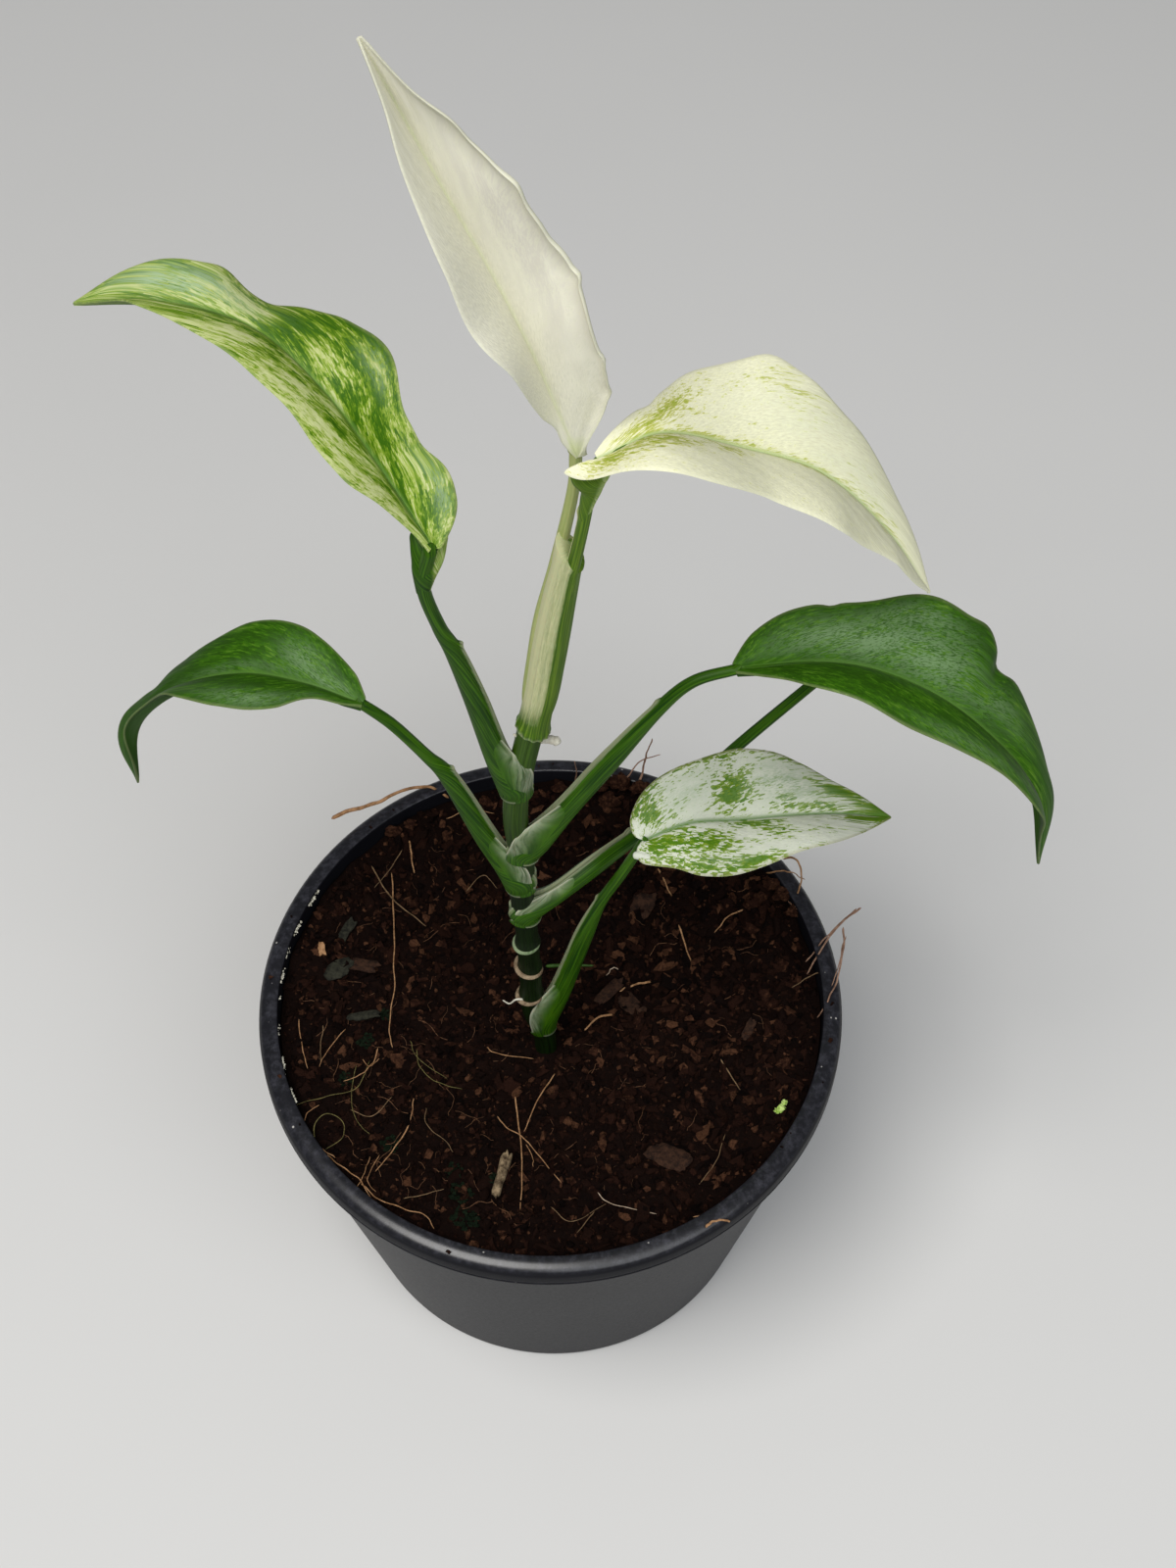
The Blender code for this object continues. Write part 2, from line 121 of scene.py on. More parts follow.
# A scar's section, and a flake's: share of its reach, height.
SCAR_PROFILE = [(-0.3, 0.0), (0.5, 0.30), (0.95, 0.18), (1.0, 0.0), (0.95, -0.18), (0.5, -0.3)]
FLAKE_PROFILE = [(0.05, 0.35), (0.55, 0.33), (0.95, 0.22), (1.0, 0.0), (0.95, -0.22),
                 (0.5, -0.3), (0.05, -0.3)]
FLAKE_STEPS = 28

BLADE_ROWS = 110
BLADE_FOOT = 0.08
BLADE_END = 0.997
BLADE_HALF_COLUMNS = 22
COLUMN_CROWDING = 1.25
MARGIN_THICKNESS = 0.5
MIDRIB_THICKNESS = 1.7
ARCH = 0.09
TIP_SWEEP = math.radians(25)
WAVES = 7
WAVE_HEIGHT = 0.35
CREASE_REACH = 0.014
ROLL_TURN = 2.4
ROLL_EXTRA = 1.14
VEIN_RUN = 0.3
VEINS = 11
QUILT_DEPTH = 0.035
GROOVE_DEPTH = 0.26
MARGIN_BULGE = 0.2
PATTERN_PLACES = (40.0, 90.0)
STALK_ROWS = 120
STALK_SIDES = 56
RIB_ROWS = 12
FUNNEL_ROWS = 40
SHEATH_TURN = math.radians(6)
RIB_GAP = 0.25
COLLAR_REACH = 2.85
COLLAR_GAP = 0.1
COLLAR_SKIN = 0.22
COLLAR_START = math.radians(100)
COLLAR_SIDES = ((-1, 1.0), (1, 0.4))  # side, share of the height that it rises to
COLLAR_ROWS = 46
COLLAR_COLUMNS = 34
SLEEVE_ROWS = 90
SLEEVE_SIDES = 96
SLEEVE_LIPS = (0.86, 0.82)
TISSUE_DEPTH = 0.0012

# The stage, in metres. Lights: name, place, size, tone. All look at LIGHT_TARGET.
CAMERA_LENS = 54
CAMERA_PLACE = (0.00833, -0.24872, 0.55545)
CAMERA_TILT = math.radians(33.458)
LIGHT_TARGET = (0, 0, 0.15)
LIGHTS = [("key", (-0.35, -0.45, 1.4), 0.8, (1.0, 0.98, 0.95)),
          ("fill", (0.45, -0.85, 1.15), 1.1, (0.95, 0.97, 1.0))]

# spine: the midrib from blade base to tip. face: where the upper side looks.
# left and right, seen with the tip ahead and the upper side up: (width, fold in degrees)
# from base to tip at even steps, the tip itself left out. base, left then right: degrees
# that the first veins run backwards, the share of the length where the half reaches its
# width, and how slowly. petiole: the route from the cane to the blade, with its radii.
# sheath: the share of the stalk where it ends, its half angle in degrees at the foot and
# at its end. green and milk: (t, s, reach along t, reach across s, strength) of the patches
# that add green or a milky tone; s runs from -1 at the left margin to 1 at the right.
# Negative green patches make the tissue paler. The milky patches are pale tissue, on the green
# leaves partly a painted sheen, and on the white leaf they are painted shade.
# margin: (side, t, reach, change in width) of waves. creases: (side, t, s where it starts,
# depth). funnel: the widened top of the stalk as ((x, y, z), half width, half depth), and
# stripe: where its pale side starts at each of these, from -1 at the left to 1 at the right.
# hook: the route of a lobe's thick lip. roll: the radius that the right margin is rolled to.
# groove: the depth over the midrib. ground: how green the blade is without its patches.
LEAVES = {
    "leaf_1_marbled": {
        "base": ((50, 0.06, 0.5), (64, 0.06, 0.7)), "face": (0, -0.2, 1),
        "spine": [(18.9, -8, 171.5), (28, -4, 171.5), (38, 0, 166.5), (48.5, 3, 163.5),
                  (58.5, 5, 161), (69.5, 7, 156.5)],
        "left": [(3, 10), (8.8, 20), (11.7, 25), (13.9, 20), (13.3, 15), (11, 5), (7.8, -5),
                 (3.9, 5)],
        "right": [(5, 5), (8.2, 5), (12.2, 5), (12.5, 20), (11.9, 30), (11.1, 35), (8, 30),
                  (4.1, 25)],
        "petiole": [(-1.3, -9.5, 98), (-0.9, -9.5, 102.5), (2.5, -9.3, 113.7), (5.3, -9.1, 126),
                    (7.9, -8.9, 138), (10.9, -8.8, 149.6), (15, -8.4, 160), (19.2, -7.9, 171.2)],
        "radii": [2.85, 2.9, 2.3, 2.0, 1.8, 1.2, 1.1, 1.0],
        "sheath": (0.74, 20, 9),
        "hook": [(22.0, -11.8, 170.4), (20.2, -11.5, 170.7), (18.4, -11.1, 170.8),
                 (17.0, -10.7, 170.5)],
        "margin": [(1, 0.19, 0.04, 0.6)],
        "paint": "marbled", "slot": "leaf_marbled", "ground": 0.0,
        "green": [(0.1, -0.6, 0.045, 0.4, 1.0), (0.36, -0.42, 0.075, 0.26, 1.0),
                  (0.3, -1.0, 0.35, 0.1, 0.7), (0.78, -0.68, 0.1, 0.2, 0.92),
                  (0.69, -0.14, 0.12, 0.12, 0.85), (1.0, 0.0, 0.13, 3.0, 1.25),
                  (0.11, 0.35, 0.1, 0.34, 0.95), (0.2, 0.9, 0.18, 0.16, 0.7),
                  (0.25, 0.45, 0.08, 0.22, 0.75), (0.42, 0.13, 0.1, 0.1, 0.9),
                  (0.49, 0.38, 0.05, 0.14, 0.8), (0.82, 0.35, 0.07, 0.2, 0.55),
                  (0.55, -0.3, 0.06, 0.12, 0.55), (0.36, 0.85, 0.08, 0.1, 0.5)],
        "milk": [(0.54, -0.55, 0.14, 0.35, 0.8), (0.2, -0.5, 0.1, 0.4, 0.6),
                 (0.75, -0.4, 0.2, 0.3, 0.5), (0.3, 0.75, 0.15, 0.15, 0.35)],
    },
    "leaf_2_back": {
        "base": ((20, 0.1, 0.8), (20, 0.1, 0.8)), "face": (-0.1, 0, 1),
        "spine": [(54, 24, 181.5), (63, 26, 183.5), (72, 28, 181.5), (80.5, 29.5, 177),
                  (88, 31, 170.5)],
        "left": [(2, 10), (6, 15), (8.6, 18), (9.4, 15), (9, 10), (7.6, 5), (5.4, 0), (2.8, 0)],
        "right": [(2, 10), (6, 15), (8.2, 15), (8.8, 15), (8.3, 15), (7, 12), (5, 10), (2.6, 8)],
        "petiole": [(-4.3, -9.5, 146.3), (-3.6, -9.5, 149), (1.5, -8.5, 152), (9.3, -4, 155.5),
                    (17.8, 4, 154.5), (28.2, 12, 157.3), (38.2, 18, 165.4), (54.4, 24.1, 181.2)],
        "radii": [3.4, 3.3, 2.2, 2.1, 1.7, 1.3, 1.2, 1.1],
        "sheath": (0.57, 20, 9),
        "margin": [],
        "paint": "green", "slot": "leaf_green", "ground": 0.77,
        "green": [],
        "milk": [(0.4, -0.4, 0.2, 0.3, 0.5), (0.6, 0.5, 0.15, 0.2, 0.4)],
    },
    "leaf_3_left": {
        "base": ((15, 0.08, 0.7), (20, 0.08, 0.7)), "face": (0, -0.2, 1),
        "spine": [(-31.8, -6, 214.4), (-42.3, -2, 215.2), (-54, 2, 212.7), (-66, 4, 206),
                  (-76.3, 4, 194), (-79.5, 4, 173.5)],
        "left": [(1.2, 30), (5, 45), (9.7, 27), (10.2, 27), (8.7, 42), (4.5, 62), (3.5, 75),
                 (2, 80)],
        "right": [(2, 10), (6.1, 10), (9.8, 10), (10.1, 5), (8.2, -10), (7, -22), (4.4, -22),
                  (3.8, 5)],
        "petiole": [(-4.9, -9.5, 158), (-5.6, -9.5, 161.5), (-8.7, -8.8, 167), (-11.7, -8.4, 175),
                    (-17.4, -7.8, 193), (-21.2, -7.4, 199.7), (-26.9, -6.7, 208.7),
                    (-32.2, -5.9, 214.2)],
        "radii": [3.3, 3.4, 2.4, 2.2, 1.7, 1.2, 1.1, 1.0],
        "sheath": (0.61, 20, 9),
        "margin": [(-1, 0.2, 0.03, 1.0), (-1, 0.7, 0.06, -1.3), (1, 0.7, 0.03, -1.0),
                   (1, 0.82, 0.05, 0.5)],
        "paint": "green", "slot": "leaf_green", "ground": 0.77,
        "green": [(0.62, 0.3, 0.2, 0.5, 0.2), (0.45, -0.3, 0.12, 0.25, 0.2),
                  (1.0, 0, 0.3, 1.0, 0.3)],
        "milk": [(0.1, 0.15, 0.09, 0.22, 1.0), (0.22, 0.45, 0.07, 0.3, 0.8),
                 (0.3, -0.75, 0.16, 0.2, 0.9), (0.42, 0.1, 0.2, 0.12, 0.4)],
    },
    "leaf_4_right": {
        "base": ((50, 0.08, 0.6), (25, 0.16, 1.0)), "face": (0.2, -0.2, 1),
        "spine": [(34.4, -4, 222), (51, -6, 226.8), (64.5, -9, 225), (77, -13, 217.7),
                  (87.6, -18, 205.4), (91.6, -22, 185.5)],
        "left": [(3, 10), (8.9, 20), (10.9, 18), (15.1, 22), (14, 10), (12.4, -5), (8.6, -13),
                 (5, -5)],
        "right": [(2.5, 20), (5.9, 35), (10.1, 30), (11.8, 22), (11.5, 25), (10.4, 35), (9.4, 40),
                  (4, 48)],
        "petiole": [(-4.2, -9.5, 169.8), (-3.7, -9.4, 171.6), (-1.4, -9.1, 174), (4.6, -8.2, 184),
                    (12.3, -7.4, 198), (20.9, -6.1, 212.5), (26.9, -5, 219.4), (34.6, -4, 221.8)],
        "radii": [3.4, 3.5, 3.0, 2.2, 2.0, 1.3, 1.1, 1.0],
        "sheath": (0.74, 20, 9),
        "creases": [(-1, 0.545, 0.62, 0.9)],
        "margin": [(-1, 0.56, 0.03, -2.0), (-1, 0.48, 0.035, 1.5), (-1, 0.33, 0.05, 0.6),
                   (-1, 0.2, 0.012, -0.5), (-1, 0.8, 0.04, -0.7), (1, 0.18, 0.05, 1.2)],
        "paint": "green", "slot": "leaf_green", "ground": 0.77,
        "green": [(0.52, -0.85, 0.1, 0.3, 0.2), (0.25, 0.3, 0.15, 0.4, 0.15)],
        "milk": [(0.22, -0.4, 0.13, 0.35, 0.9), (0.42, -0.3, 0.13, 0.3, 0.9),
                 (0.62, -0.45, 0.09, 0.25, 0.55), (0.55, 0.8, 0.14, 0.16, 0.7),
                 (0.36, -0.75, 0.08, 0.15, 0.7)],
    },
    "leaf_5_mottled": {
        "base": ((20, 0.2, 1.3), (50, 0.1, 0.8)), "face": (0, -0.3, 1),
        "spine": [(-16.6, -9, 261.6), (-25.2, 2, 269), (-34, 12, 275.6), (-45, 20, 281.4),
                  (-60, 26, 281.4), (-76.3, 30, 277)],
        "left": [(1.5, 30), (7.2, 50), (10.2, 42), (10.7, 43), (11.1, 40), (9.6, 38), (6.8, 45),
                 (2.4, 60)],
        "right": [(4, 10), (8.8, 12), (9, 40), (12.1, 10), (10.4, -20), (8.5, -32), (7.9, 5),
                  (5.1, 15)],
        "petiole": [(-5.1, -9.5, 191.5), (-5.6, -9.5, 195), (-8.2, -9.4, 203), (-11.4, -9.4, 220),
                    (-14.5, -9.3, 234), (-16.7, -9.2, 241), (-18.7, -9.2, 252), (-17, -9, 261.2)],
        "radii": [3.1, 3.3, 2.4, 2.0, 1.6, 1.25, 1.2, 1.2],
        "sheath": (0.6, 22, 10),
        "funnel": [((-18.8, -9.2, 250.4), 1.15, 1.1), ((-18.4, -9.1, 254), 1.85, 1.35),
                   ((-18.1, -8.8, 255.8), 2.3, 1.4), ((-17.7, -8, 257.4), 2.7, 1.3),
                   ((-17.5, -6.6, 259.2), 3.0, 1.1), ((-17.4, -5.2, 260.4), 3.0, 0.8),
                   ((-17.4, -4.4, 261), 1.4, 0.3)],
        "stripe": [0.9, 0.8, 0.6, 0.36, 0.15, -0.3, -0.5],
        "margin": [(-1, 0.18, 0.04, 1.2), (-1, 0.81, 0.04, 0.9), (1, 0.19, 0.03, -1.2),
                   (1, 0.47, 0.03, 0.5), (1, 0.59, 0.035, -1.0), (1, 0.69, 0.03, 1.2)],
        "paint": "mottled", "slot": "leaf_mottled", "ground": 0.52,
        "green": [(0.28, 0.35, 0.12, 0.3, 0.25), (0.55, 0.35, 0.05, 0.35, 0.6),
                  (0.1, 0.1, 0.08, 0.3, 0.2), (0.45, 0.9, 0.1, 0.2, 0.3),
                  # The negative patches on the left half (s below 0) are painted light: they pale
                  # the half that is folded away from the light.
                  (0.35, -0.8, 0.2, 0.3, -0.25), (0.12, -0.7, 0.1, 0.3, -0.2),
                  (0.62, 0.5, 0.07, 0.3, -0.5), (0.5, -0.6, 0.5, 0.5, -0.14)],
        "milk": [(0.72, 0.45, 0.12, 0.35, 0.9), (0.85, 0.6, 0.1, 0.4, 0.6),
                 (0.12, 0.75, 0.08, 0.2, 0.6), (0.35, 0.75, 0.05, 0.15, 0.6)],
    },
    "leaf_6_cream": {
        "base": ((0, 0.14, 0.9), (98, 0.012, 0.25)), "face": (0.1, -0.1, 1),
        "spine": [(9.7, -13.5, 288), (19.5, -9, 289), (32.3, -4, 280), (45.2, -2, 272),
                  (56.2, -3, 260), (65.5, -6, 246)],
        "left": [(3, 10), (4.6, -12), (8.9, -5), (14.5, 14), (14.2, 22), (11.2, 15), (7.9, 5),
                 (4.4, 0)],
        "right": [(5.7, 12), (8.2, 30), (12.6, 17), (12.4, 15), (13.8, 15), (12.8, 16), (9, 20),
                  (5.6, 28)],
        "petiole": [(-2, -9.5, 211.3), (-1, -9.5, 214.5), (1.1, -9.7, 221.5), (2.6, -10.2, 232),
                    (4, -10.9, 245), (5.6, -11.8, 257.5), (7.6, -13, 272), (9.2, -13.6, 285.8)],
        "radii": [2.6, 2.4, 2.0, 1.8, 1.5, 1.15, 1.0, 1.05],
        "sheath": (0.9, 26, 12),
        "funnel": [((7.7, -13.2, 274), 0.9, 0.9), ((8.24, -13.3, 277.75), 1.22, 1.1),
                   ((8.8, -13.4, 280.6), 1.6, 1.3), ((8.7, -13.5, 282), 2.2, 1.5),
                   ((8.5, -13.6, 283.5), 2.8, 1.6), ((8.8, -13.4, 285.2), 3.0, 1.2),
                   ((9.2, -13, 286.4), 1.0, 0.4)],
        "stripe": [0.4, 0.4, 0.4, 0.5, 0.6, 0.6, 0.6],
        "margin": [(-1, 0.43, 0.045, 1.6), (-1, 0.3, 0.04, 1.0), (-1, 0.2, 0.03, -0.9),
                   (-1, 0.57, 0.05, -0.8), (1, 0.18, 0.05, 1.2), (1, 0.55, 0.05, 0.7)],
        "paint": "cream", "slot": "leaf_cream", "ground": 0.0,
        "green": [(0.08, 0.5, 0.09, 0.5, 0.52), (0.2, 0.25, 0.08, 0.3, 0.5),
                  (0.34, 0.22, 0.06, 0.15, 0.42), (0.13, -0.3, 0.09, 0.35, 0.5),
                  (0.24, -0.6, 0.07, 0.3, 0.5), (0.36, -0.02, 0.2, 0.07, 0.45),
                  (0.6, 0.05, 0.12, 0.1, 0.4), (0.82, 0.05, 0.14, 0.4, 0.38),
                  (0.48, -0.7, 0.15, 0.25, 0.26)],
        "milk": [(0.55, -0.5, 0.2, 0.4, 0.3), (0.75, -0.2, 0.15, 0.3, 0.3)],
    },
    "leaf_7_new": {
        "base": ((0, 0.01, 1.0), (0, 0.01, 1.0)), "face": (0.25, -0.93, 0.25),
        "spine": [(6.75, -8.9, 283), (1.1, -6, 299.6), (-5, -2.5, 314), (-11, 0, 326.7),
                  (-16.6, 2, 339.5), (-21.6, 2, 353)],
        "left": [(0.3, 0), (3.9, 50), (10.3, 70), (12.4, 61), (12, 65), (9.9, 65), (7.6, 67),
                 (3.7, 72)],
        "right": [(0.3, 0), (8.0, 22), (10.7, 33), (12, 27), (11, 30), (9.9, 34), (7.4, 36),
                  (3.4, 45)],
        "petiole": [(-1.7, -9.5, 214.2), (-1.9, -9.5, 222), (-1, -9.5, 232), (0.5, -9.4, 244),
                    (3.2, -9.2, 258), (6.0, -8.6, 275), (6.5, -7.75, 283.4)],
        "radii": [1.4, 1.3, 1.2, 1.2, 1.15, 1.0, 1.05],
        "sheath": (0.0, 30, 30),
        "margin": [(-1, 0.31, 0.05, 0.8), (-1, 0.08, 0.03, -0.9), (1, 0.575, 0.035, 1.0),
                   (1, 0.7, 0.04, -0.5), (1, 0.355, 0.012, 0.7), (1, 0.44, 0.03, -0.5),
                   (1, 0.2, 0.012, 0.5), (1, 0.13, 0.01, 0.5)],
        "paint": "white", "slot": "leaf_white", "ground": 0.0,
        "green": [(0.0, 0.0, 0.06, 1.5, 0.62), (1.0, 0.0, 0.06, 0.8, 0.3)],
        # This milky patch on the right half is painted shade: it greys the half that turns away
        # from the light.
        "milk": [(0.5, 0.6, 0.35, 0.5, 0.8)],
        "roll": 1.3, "groove": 0.1,
    },
}

# Each sheath's open collar clasps the cane. Its edge as (degrees from the side away from the
# stalk, height over the foot), and the height where it runs into the stalk's own edge.
COLLARS = {"leaf_1_marbled": ([(40, 0.3), (58, 1.5), (76, 8.4), (90, 14)], 20),
           "leaf_2_back": ([(30, 0.3), (51, 2), (66, 6.2), (105, 7.6)], 8.8),
           "leaf_3_left": ([(30, 0.5), (46, 3.3), (70, 10.5), (90, 13)], 17),
           "leaf_4_right": ([(20, 0.5), (64, 6.4), (80, 10), (112, 13)], 15.5),
           "leaf_5_mottled": ([(5, 0.3), (26, 5), (50, 10.4), (90, 14)], 18)}

# The rolled sheath of the sixth leaf, from its foot up: (x, y, z), half width, half depth.
SLEEVE = [((-1.5, -9.6, 211.8), 2.8, 2.7), ((-0.6, -9.7, 218), 2.85, 2.8),
          ((0.5, -9.9, 225), 3.05, 2.9), ((2.1, -10.2, 238.3), 3.1, 2.8),
          ((3.6, -10.4, 250), 2.85, 2.6), ((4.9, -10.8, 259), 2.5, 2.3),
          ((5.5, -11, 263), 2.3, 2.1)]

# Bare nodes of the cane: height, the scar's reach, its tilt in degrees about Y and its finish.
SCARS = [(113.2, 0.85, 6, "papery"), (124.6, 1.0, -12, "papery"), (135.0, 0.75, 8, "scar_green")]

# Fibres and rootlets: points on the soil as (x, y, height over it), thickness, and finish.
FIBRES = [
    ([(-37.2, 35, 0.2), (-36.2, 24, 1.6), (-35.5, 12, 2.2), (-35.1, 3, 1.8), (-35.8, -6, 1.2),
      (-35, -10.5, 0.3)], 0.55, "straw"),
    ([(-33.4, 43, 1.6), (-32.7, 39, 1.6), (-31.9, 34.5, 0.8)], 0.7, "straw"),
    ([(-42, 37, 0.8), (-38, 29.5, 1), (-34.5, 25.5, 1), (-28.7, 20.5, 0.6)], 0.6, "twig"),
    ([(-35, 41, 1), (-38, 35, 1.2), (-41, 31, 0.6)], 0.35, "twig"),
    ([(-7.7, -22, 0.4), (-6.6, -30, 1.6), (-5.8, -39, 2.0), (-6, -49, 0.6)], 0.55, "straw"),
    ([(1, -17, 0.4), (-2.6, -24, 1.8), (-5.6, -31, 1.4)], 0.5, "straw"),
    ([(-11.4, -27, 0.3), (-9.5, -30, 1.2), (-5.6, -32.8, 2.3), (-2.8, -36, 1.6), (2.6, -43, 0.4)],
      0.45, "straw"),
    ([(-5, -34, 1.5), (-3.6, -37, 0.8), (-3.4, -39, 0.2)], 0.3, "straw"),
    ([(-40, -43.5, 0.8), (-36.4, -46.5, 1.6), (-31, -49, 1.8), (-26, -50.6, 1.4),
      (-24.2, -53, 0.4)], 0.5, "straw"),
    ([(-46, -37, 0.5), (-48.5, -35.5, 1.6), (-51.4, -33.5, 1.8), (-53, -30.5, 1.6),
      (-52.6, -27, 1.2), (-50.2, -24.6, 0.3)], 0.4, "straw"),
    ([(-50.8, -34.5, 1), (-50.6, -29.5, 1.8), (-48, -27.5, 2), (-44.8, -29, 1.6),
      (-44.8, -32.6, 1.4), (-48.2, -35, 0.5)], 0.38, "moss_thread"),
    ([(-39.8, -13.5, 0.4), (-42.2, -20.4, 1.2), (-49, -23, 1), (-55.6, -24, 0.4)],
      0.35, "moss_thread"),
    ([(-50.6, -34.6, 1), (-46.3, -38, 1.6), (-43, -40.5, 1.8), (-39.6, -43.8, 1.4),
      (-35.4, -50.6, 0.5)], 0.5, "straw"),
    ([(-30.4, -29.6, 1.6), (-33, -33.8, 1.2), (-37.2, -40.6, 0.5)], 0.55, "straw"),
    ([(-29.6, -23, 1.4), (-30.2, -28, 0.5)], 0.4, "straw"),
    ([(-56, -4, 1.2), (-55, -10, 1.4), (-53.6, -15, 0.4)], 0.4, "straw"),
    ([(-45.4, -6.4, 1.6), (-49.8, -12.4, 1), (-50.8, -15, 0.3)], 0.35, "straw"),
    ([(-50.4, -5.6, 1.2), (-50.8, -10, 0.8), (-50.6, -14, 0.3)], 0.35, "twig"),
    ([(-38, -11, 1.8), (-39.2, -14.6, 1.2), (-42, -17.6, 1.4), (-45.4, -18.6, 0.4)], 0.4, "straw"),
    ([(-41.4, -13.4, 1), (-39.6, -15.2, 1.3), (-37.6, -13.4, 1.6)], 0.3, "straw"),
    ([(-29.6, -11, 0.4), (-28.4, -16, 1.2), (-25, -19.4, 1.2), (-19.4, -20.6, 0.4)],
      0.35, "moss_thread"),
    ([(-31, -9, 0.8), (-29, -14, 1.6), (-22.6, -18.6, 1.2)], 0.3, "moss_thread"),
    ([(-14, -10.8, 0.8), (-11.8, -12.4, 1), (-3.6, -13.2, 0.5)], 0.4, "straw"),
    ([(-27, -24.6, 0.4), (-26.6, -29.6, 1), (-22.4, -33, 0.6), (-20.8, -35.6, 0.3)], 0.3, "twig"),
    ([(-43.4, -25.4, 0.4), (-38.6, -27.2, 1), (-34.4, -23, 1.2)], 0.35, "twig"),
    ([(-42.6, -14.6, 0.5), (-43.4, -22, 1.2), (-42, -28, 1.4), (-39, -31, 0.8)],
      0.3, "moss_thread"),
    ([(-38.6, -36.6, 0.5), (-39.4, -41, 1.6), (-41, -45, 1.2)], 0.32, "straw"),
    ([(-36.6, -36.4, 1), (-38.6, -42.4, 1.4), (-36.6, -45.2, 0.4)], 0.3, "straw"),
    ([(-31, -46, 0.3), (-26.6, -45.4, 0.9), (-22.4, -44, 0.5)], 0.35, "twig"),
    ([(13.8, -2.5, 1.2), (10.4, -3.8, 1.4), (7.6, -6, 0.6)], 0.9, "straw"),
    ([(22.4, 5.7, 1), (19, 5.2, 1.3), (15.4, 3.7, 0.8)], 0.9, "straw"),
    ([(15, 8.6, 1), (13.8, 8.4, 1.5), (12.6, 7.2, 0.7)], 0.4, "pale_root"),
    ([(62, 8, 2.6), (58, 7, 2.2), (54, 4, 1)], 0.45, "twig"),
    ([(24.6, 36, 0.8), (27.6, 28, 1)], 0.7, "straw"),
    ([(29, 20.6, 1), (31.6, 11.4, 0.8)], 0.7, "straw"),
    ([(43.8, 24, 1.6), (40, 22, 1.6), (37.2, 18.6, 0.5)], 0.6, "straw"),
    ([(30.6, -50.4, 0.5), (35, -49.4, 1.4), (40.4, -45.6, 1.6), (44.6, -41.4, 1)], 0.4, "straw"),
    ([(10.4, -45, 1.2), (13.4, -47.6, 1), (22.8, -49.6, 0.4)], 0.35, "pale_root"),
    ([(38, -31, 0.8), (36, -37.6, 1.2), (32, -43, 0.6)], 0.35, "twig"),
    ([(37.6, -13.6, 0.8), (41.6, -20.8, 0.8)], 0.55, "twig"),
    ([(9.6, -49, 0.6), (6, -54.2, 0.6)], 0.4, "twig"),
    ([(0.4, -47.8, 0.4), (5, -51.6, 1), (12, -47.4, 0.6)], 0.3, "twig"),
    ([(-19.8, 30, 0.8), (-16, 34, 1.6), (-12.6, 31, 0.6)], 0.35, "twig"),
    ([(-25, 49.4, 1), (-19, 51.6, 1.6), (-13.6, 50.2, 1)], 0.4, "straw"),
]

# Roots that lie over the rim or stand above it: points as (x, y, z), thickness at both ends.
RIM_ROOTS = [
    ([(-51.5, 47, 93.4), (-46.5, 49, 94), (-41, 50.6, 94.6), (-35.6, 53.6, 94.8), (-29, 55.6, 93.6),
      (-24.6, 54.6, 90.6)], 1.3, 0.9, "straw"),
    ([(70, 20.4, 97.6), (66.4, 18.6, 95.6), (63.6, 15.8, 94.1), (60.6, 11.8, 93.2),
      (57.6, 7.6, 90)], 0.7, 0.5, "root_brown"),
    ([(68.8, 20, 97.8), (65, 17.6, 95), (61.6, 14.4, 93.8), (57.4, 10.4, 90.4)],
      0.55, 0.4, "root_brown"),
    ([(65.6, 15.6, 97.2), (65.6, 11, 96), (64, 4.4, 94), (61.8, -0.6, 93.3), (59.4, -3.6, 90)],
      0.6, 0.4, "root_brown"),
    ([(66.2, 13.8, 96.4), (64.4, 8, 94.6), (62.6, 2.4, 93.6)], 0.4, 0.3, "root_brown"),
    ([(20, 56, 92), (21.4, 59.4, 96), (22, 60.4, 101), (23.4, 61, 106)], 0.8, 0.4, "root_brown"),
    ([(17.4, 57.4, 95), (20.6, 59.6, 98.6), (25.4, 60.4, 100.4)], 0.5, 0.3, "root_brown"),
    ([(5.4, 58.4, 91), (5.6, 58.6, 96), (5.2, 58.8, 100)], 0.5, 0.3, "root_brown"),
    ([(52.8, 36.4, 93.4), (56, 33.4, 97), (57.2, 29.6, 95.4), (55.6, 25.6, 91)], 0.7, 0.5, "straw"),
    ([(49.4, 33, 92), (52.6, 31.4, 95.4), (55.4, 31.6, 94.2), (58, 30.4, 93.2)],
      0.45, 0.3, "straw"),
    ([(54.2, 26, 91), (57, 21.6, 92.6), (58.8, 16.4, 91)], 0.5, 0.3, "root_brown"),
    ([(33, -54.6, 93.1), (34.6, -53.4, 93.6), (37.2, -53.2, 93.7), (38, -53.4, 93.4)],
      0.7, 0.5, "straw"),
]

# Coir clods heaped against the rim: (x, y, height over the soil, size).
CLODS = [(16, 57, 3.4, 4.6), (20.4, 55.6, 3.8, 3.8), (11.4, 57.4, 2.4, 3.8), (7.4, 55.8, 1.6, 3.6),
         (24, 52.6, 1.6, 3.2), (13.2, 53.4, 1, 4.2), (53, 27.6, 2.4, 4), (55.4, 23.6, 1.6, 3.2),
         (50.4, 30.4, 1.6, 3.6), (48, 27, 1, 3), (-37.4, 46, 1, 3.4), (-33.4, 47.8, 0.8, 3),
         (1.6, 57.2, 0.8, 3), (-16, 54.6, 0.6, 2.8), (51.6, -14, 0.4, 3), (30, 48, 0.8, 3.4)]

# Moss on the soil: (x, y, size).
MOSS = [(-18.9, -44.6, 4.2), (-17.6, -50.4, 4.8), (-20.6, -39.6, 3), (-34.6, -33, 3.4),
        (-11.4, -41.4, 2.4), (-41, -8.4, 3), (-45, -17.6, 2.6), (-37, -1.4, 2.4)]

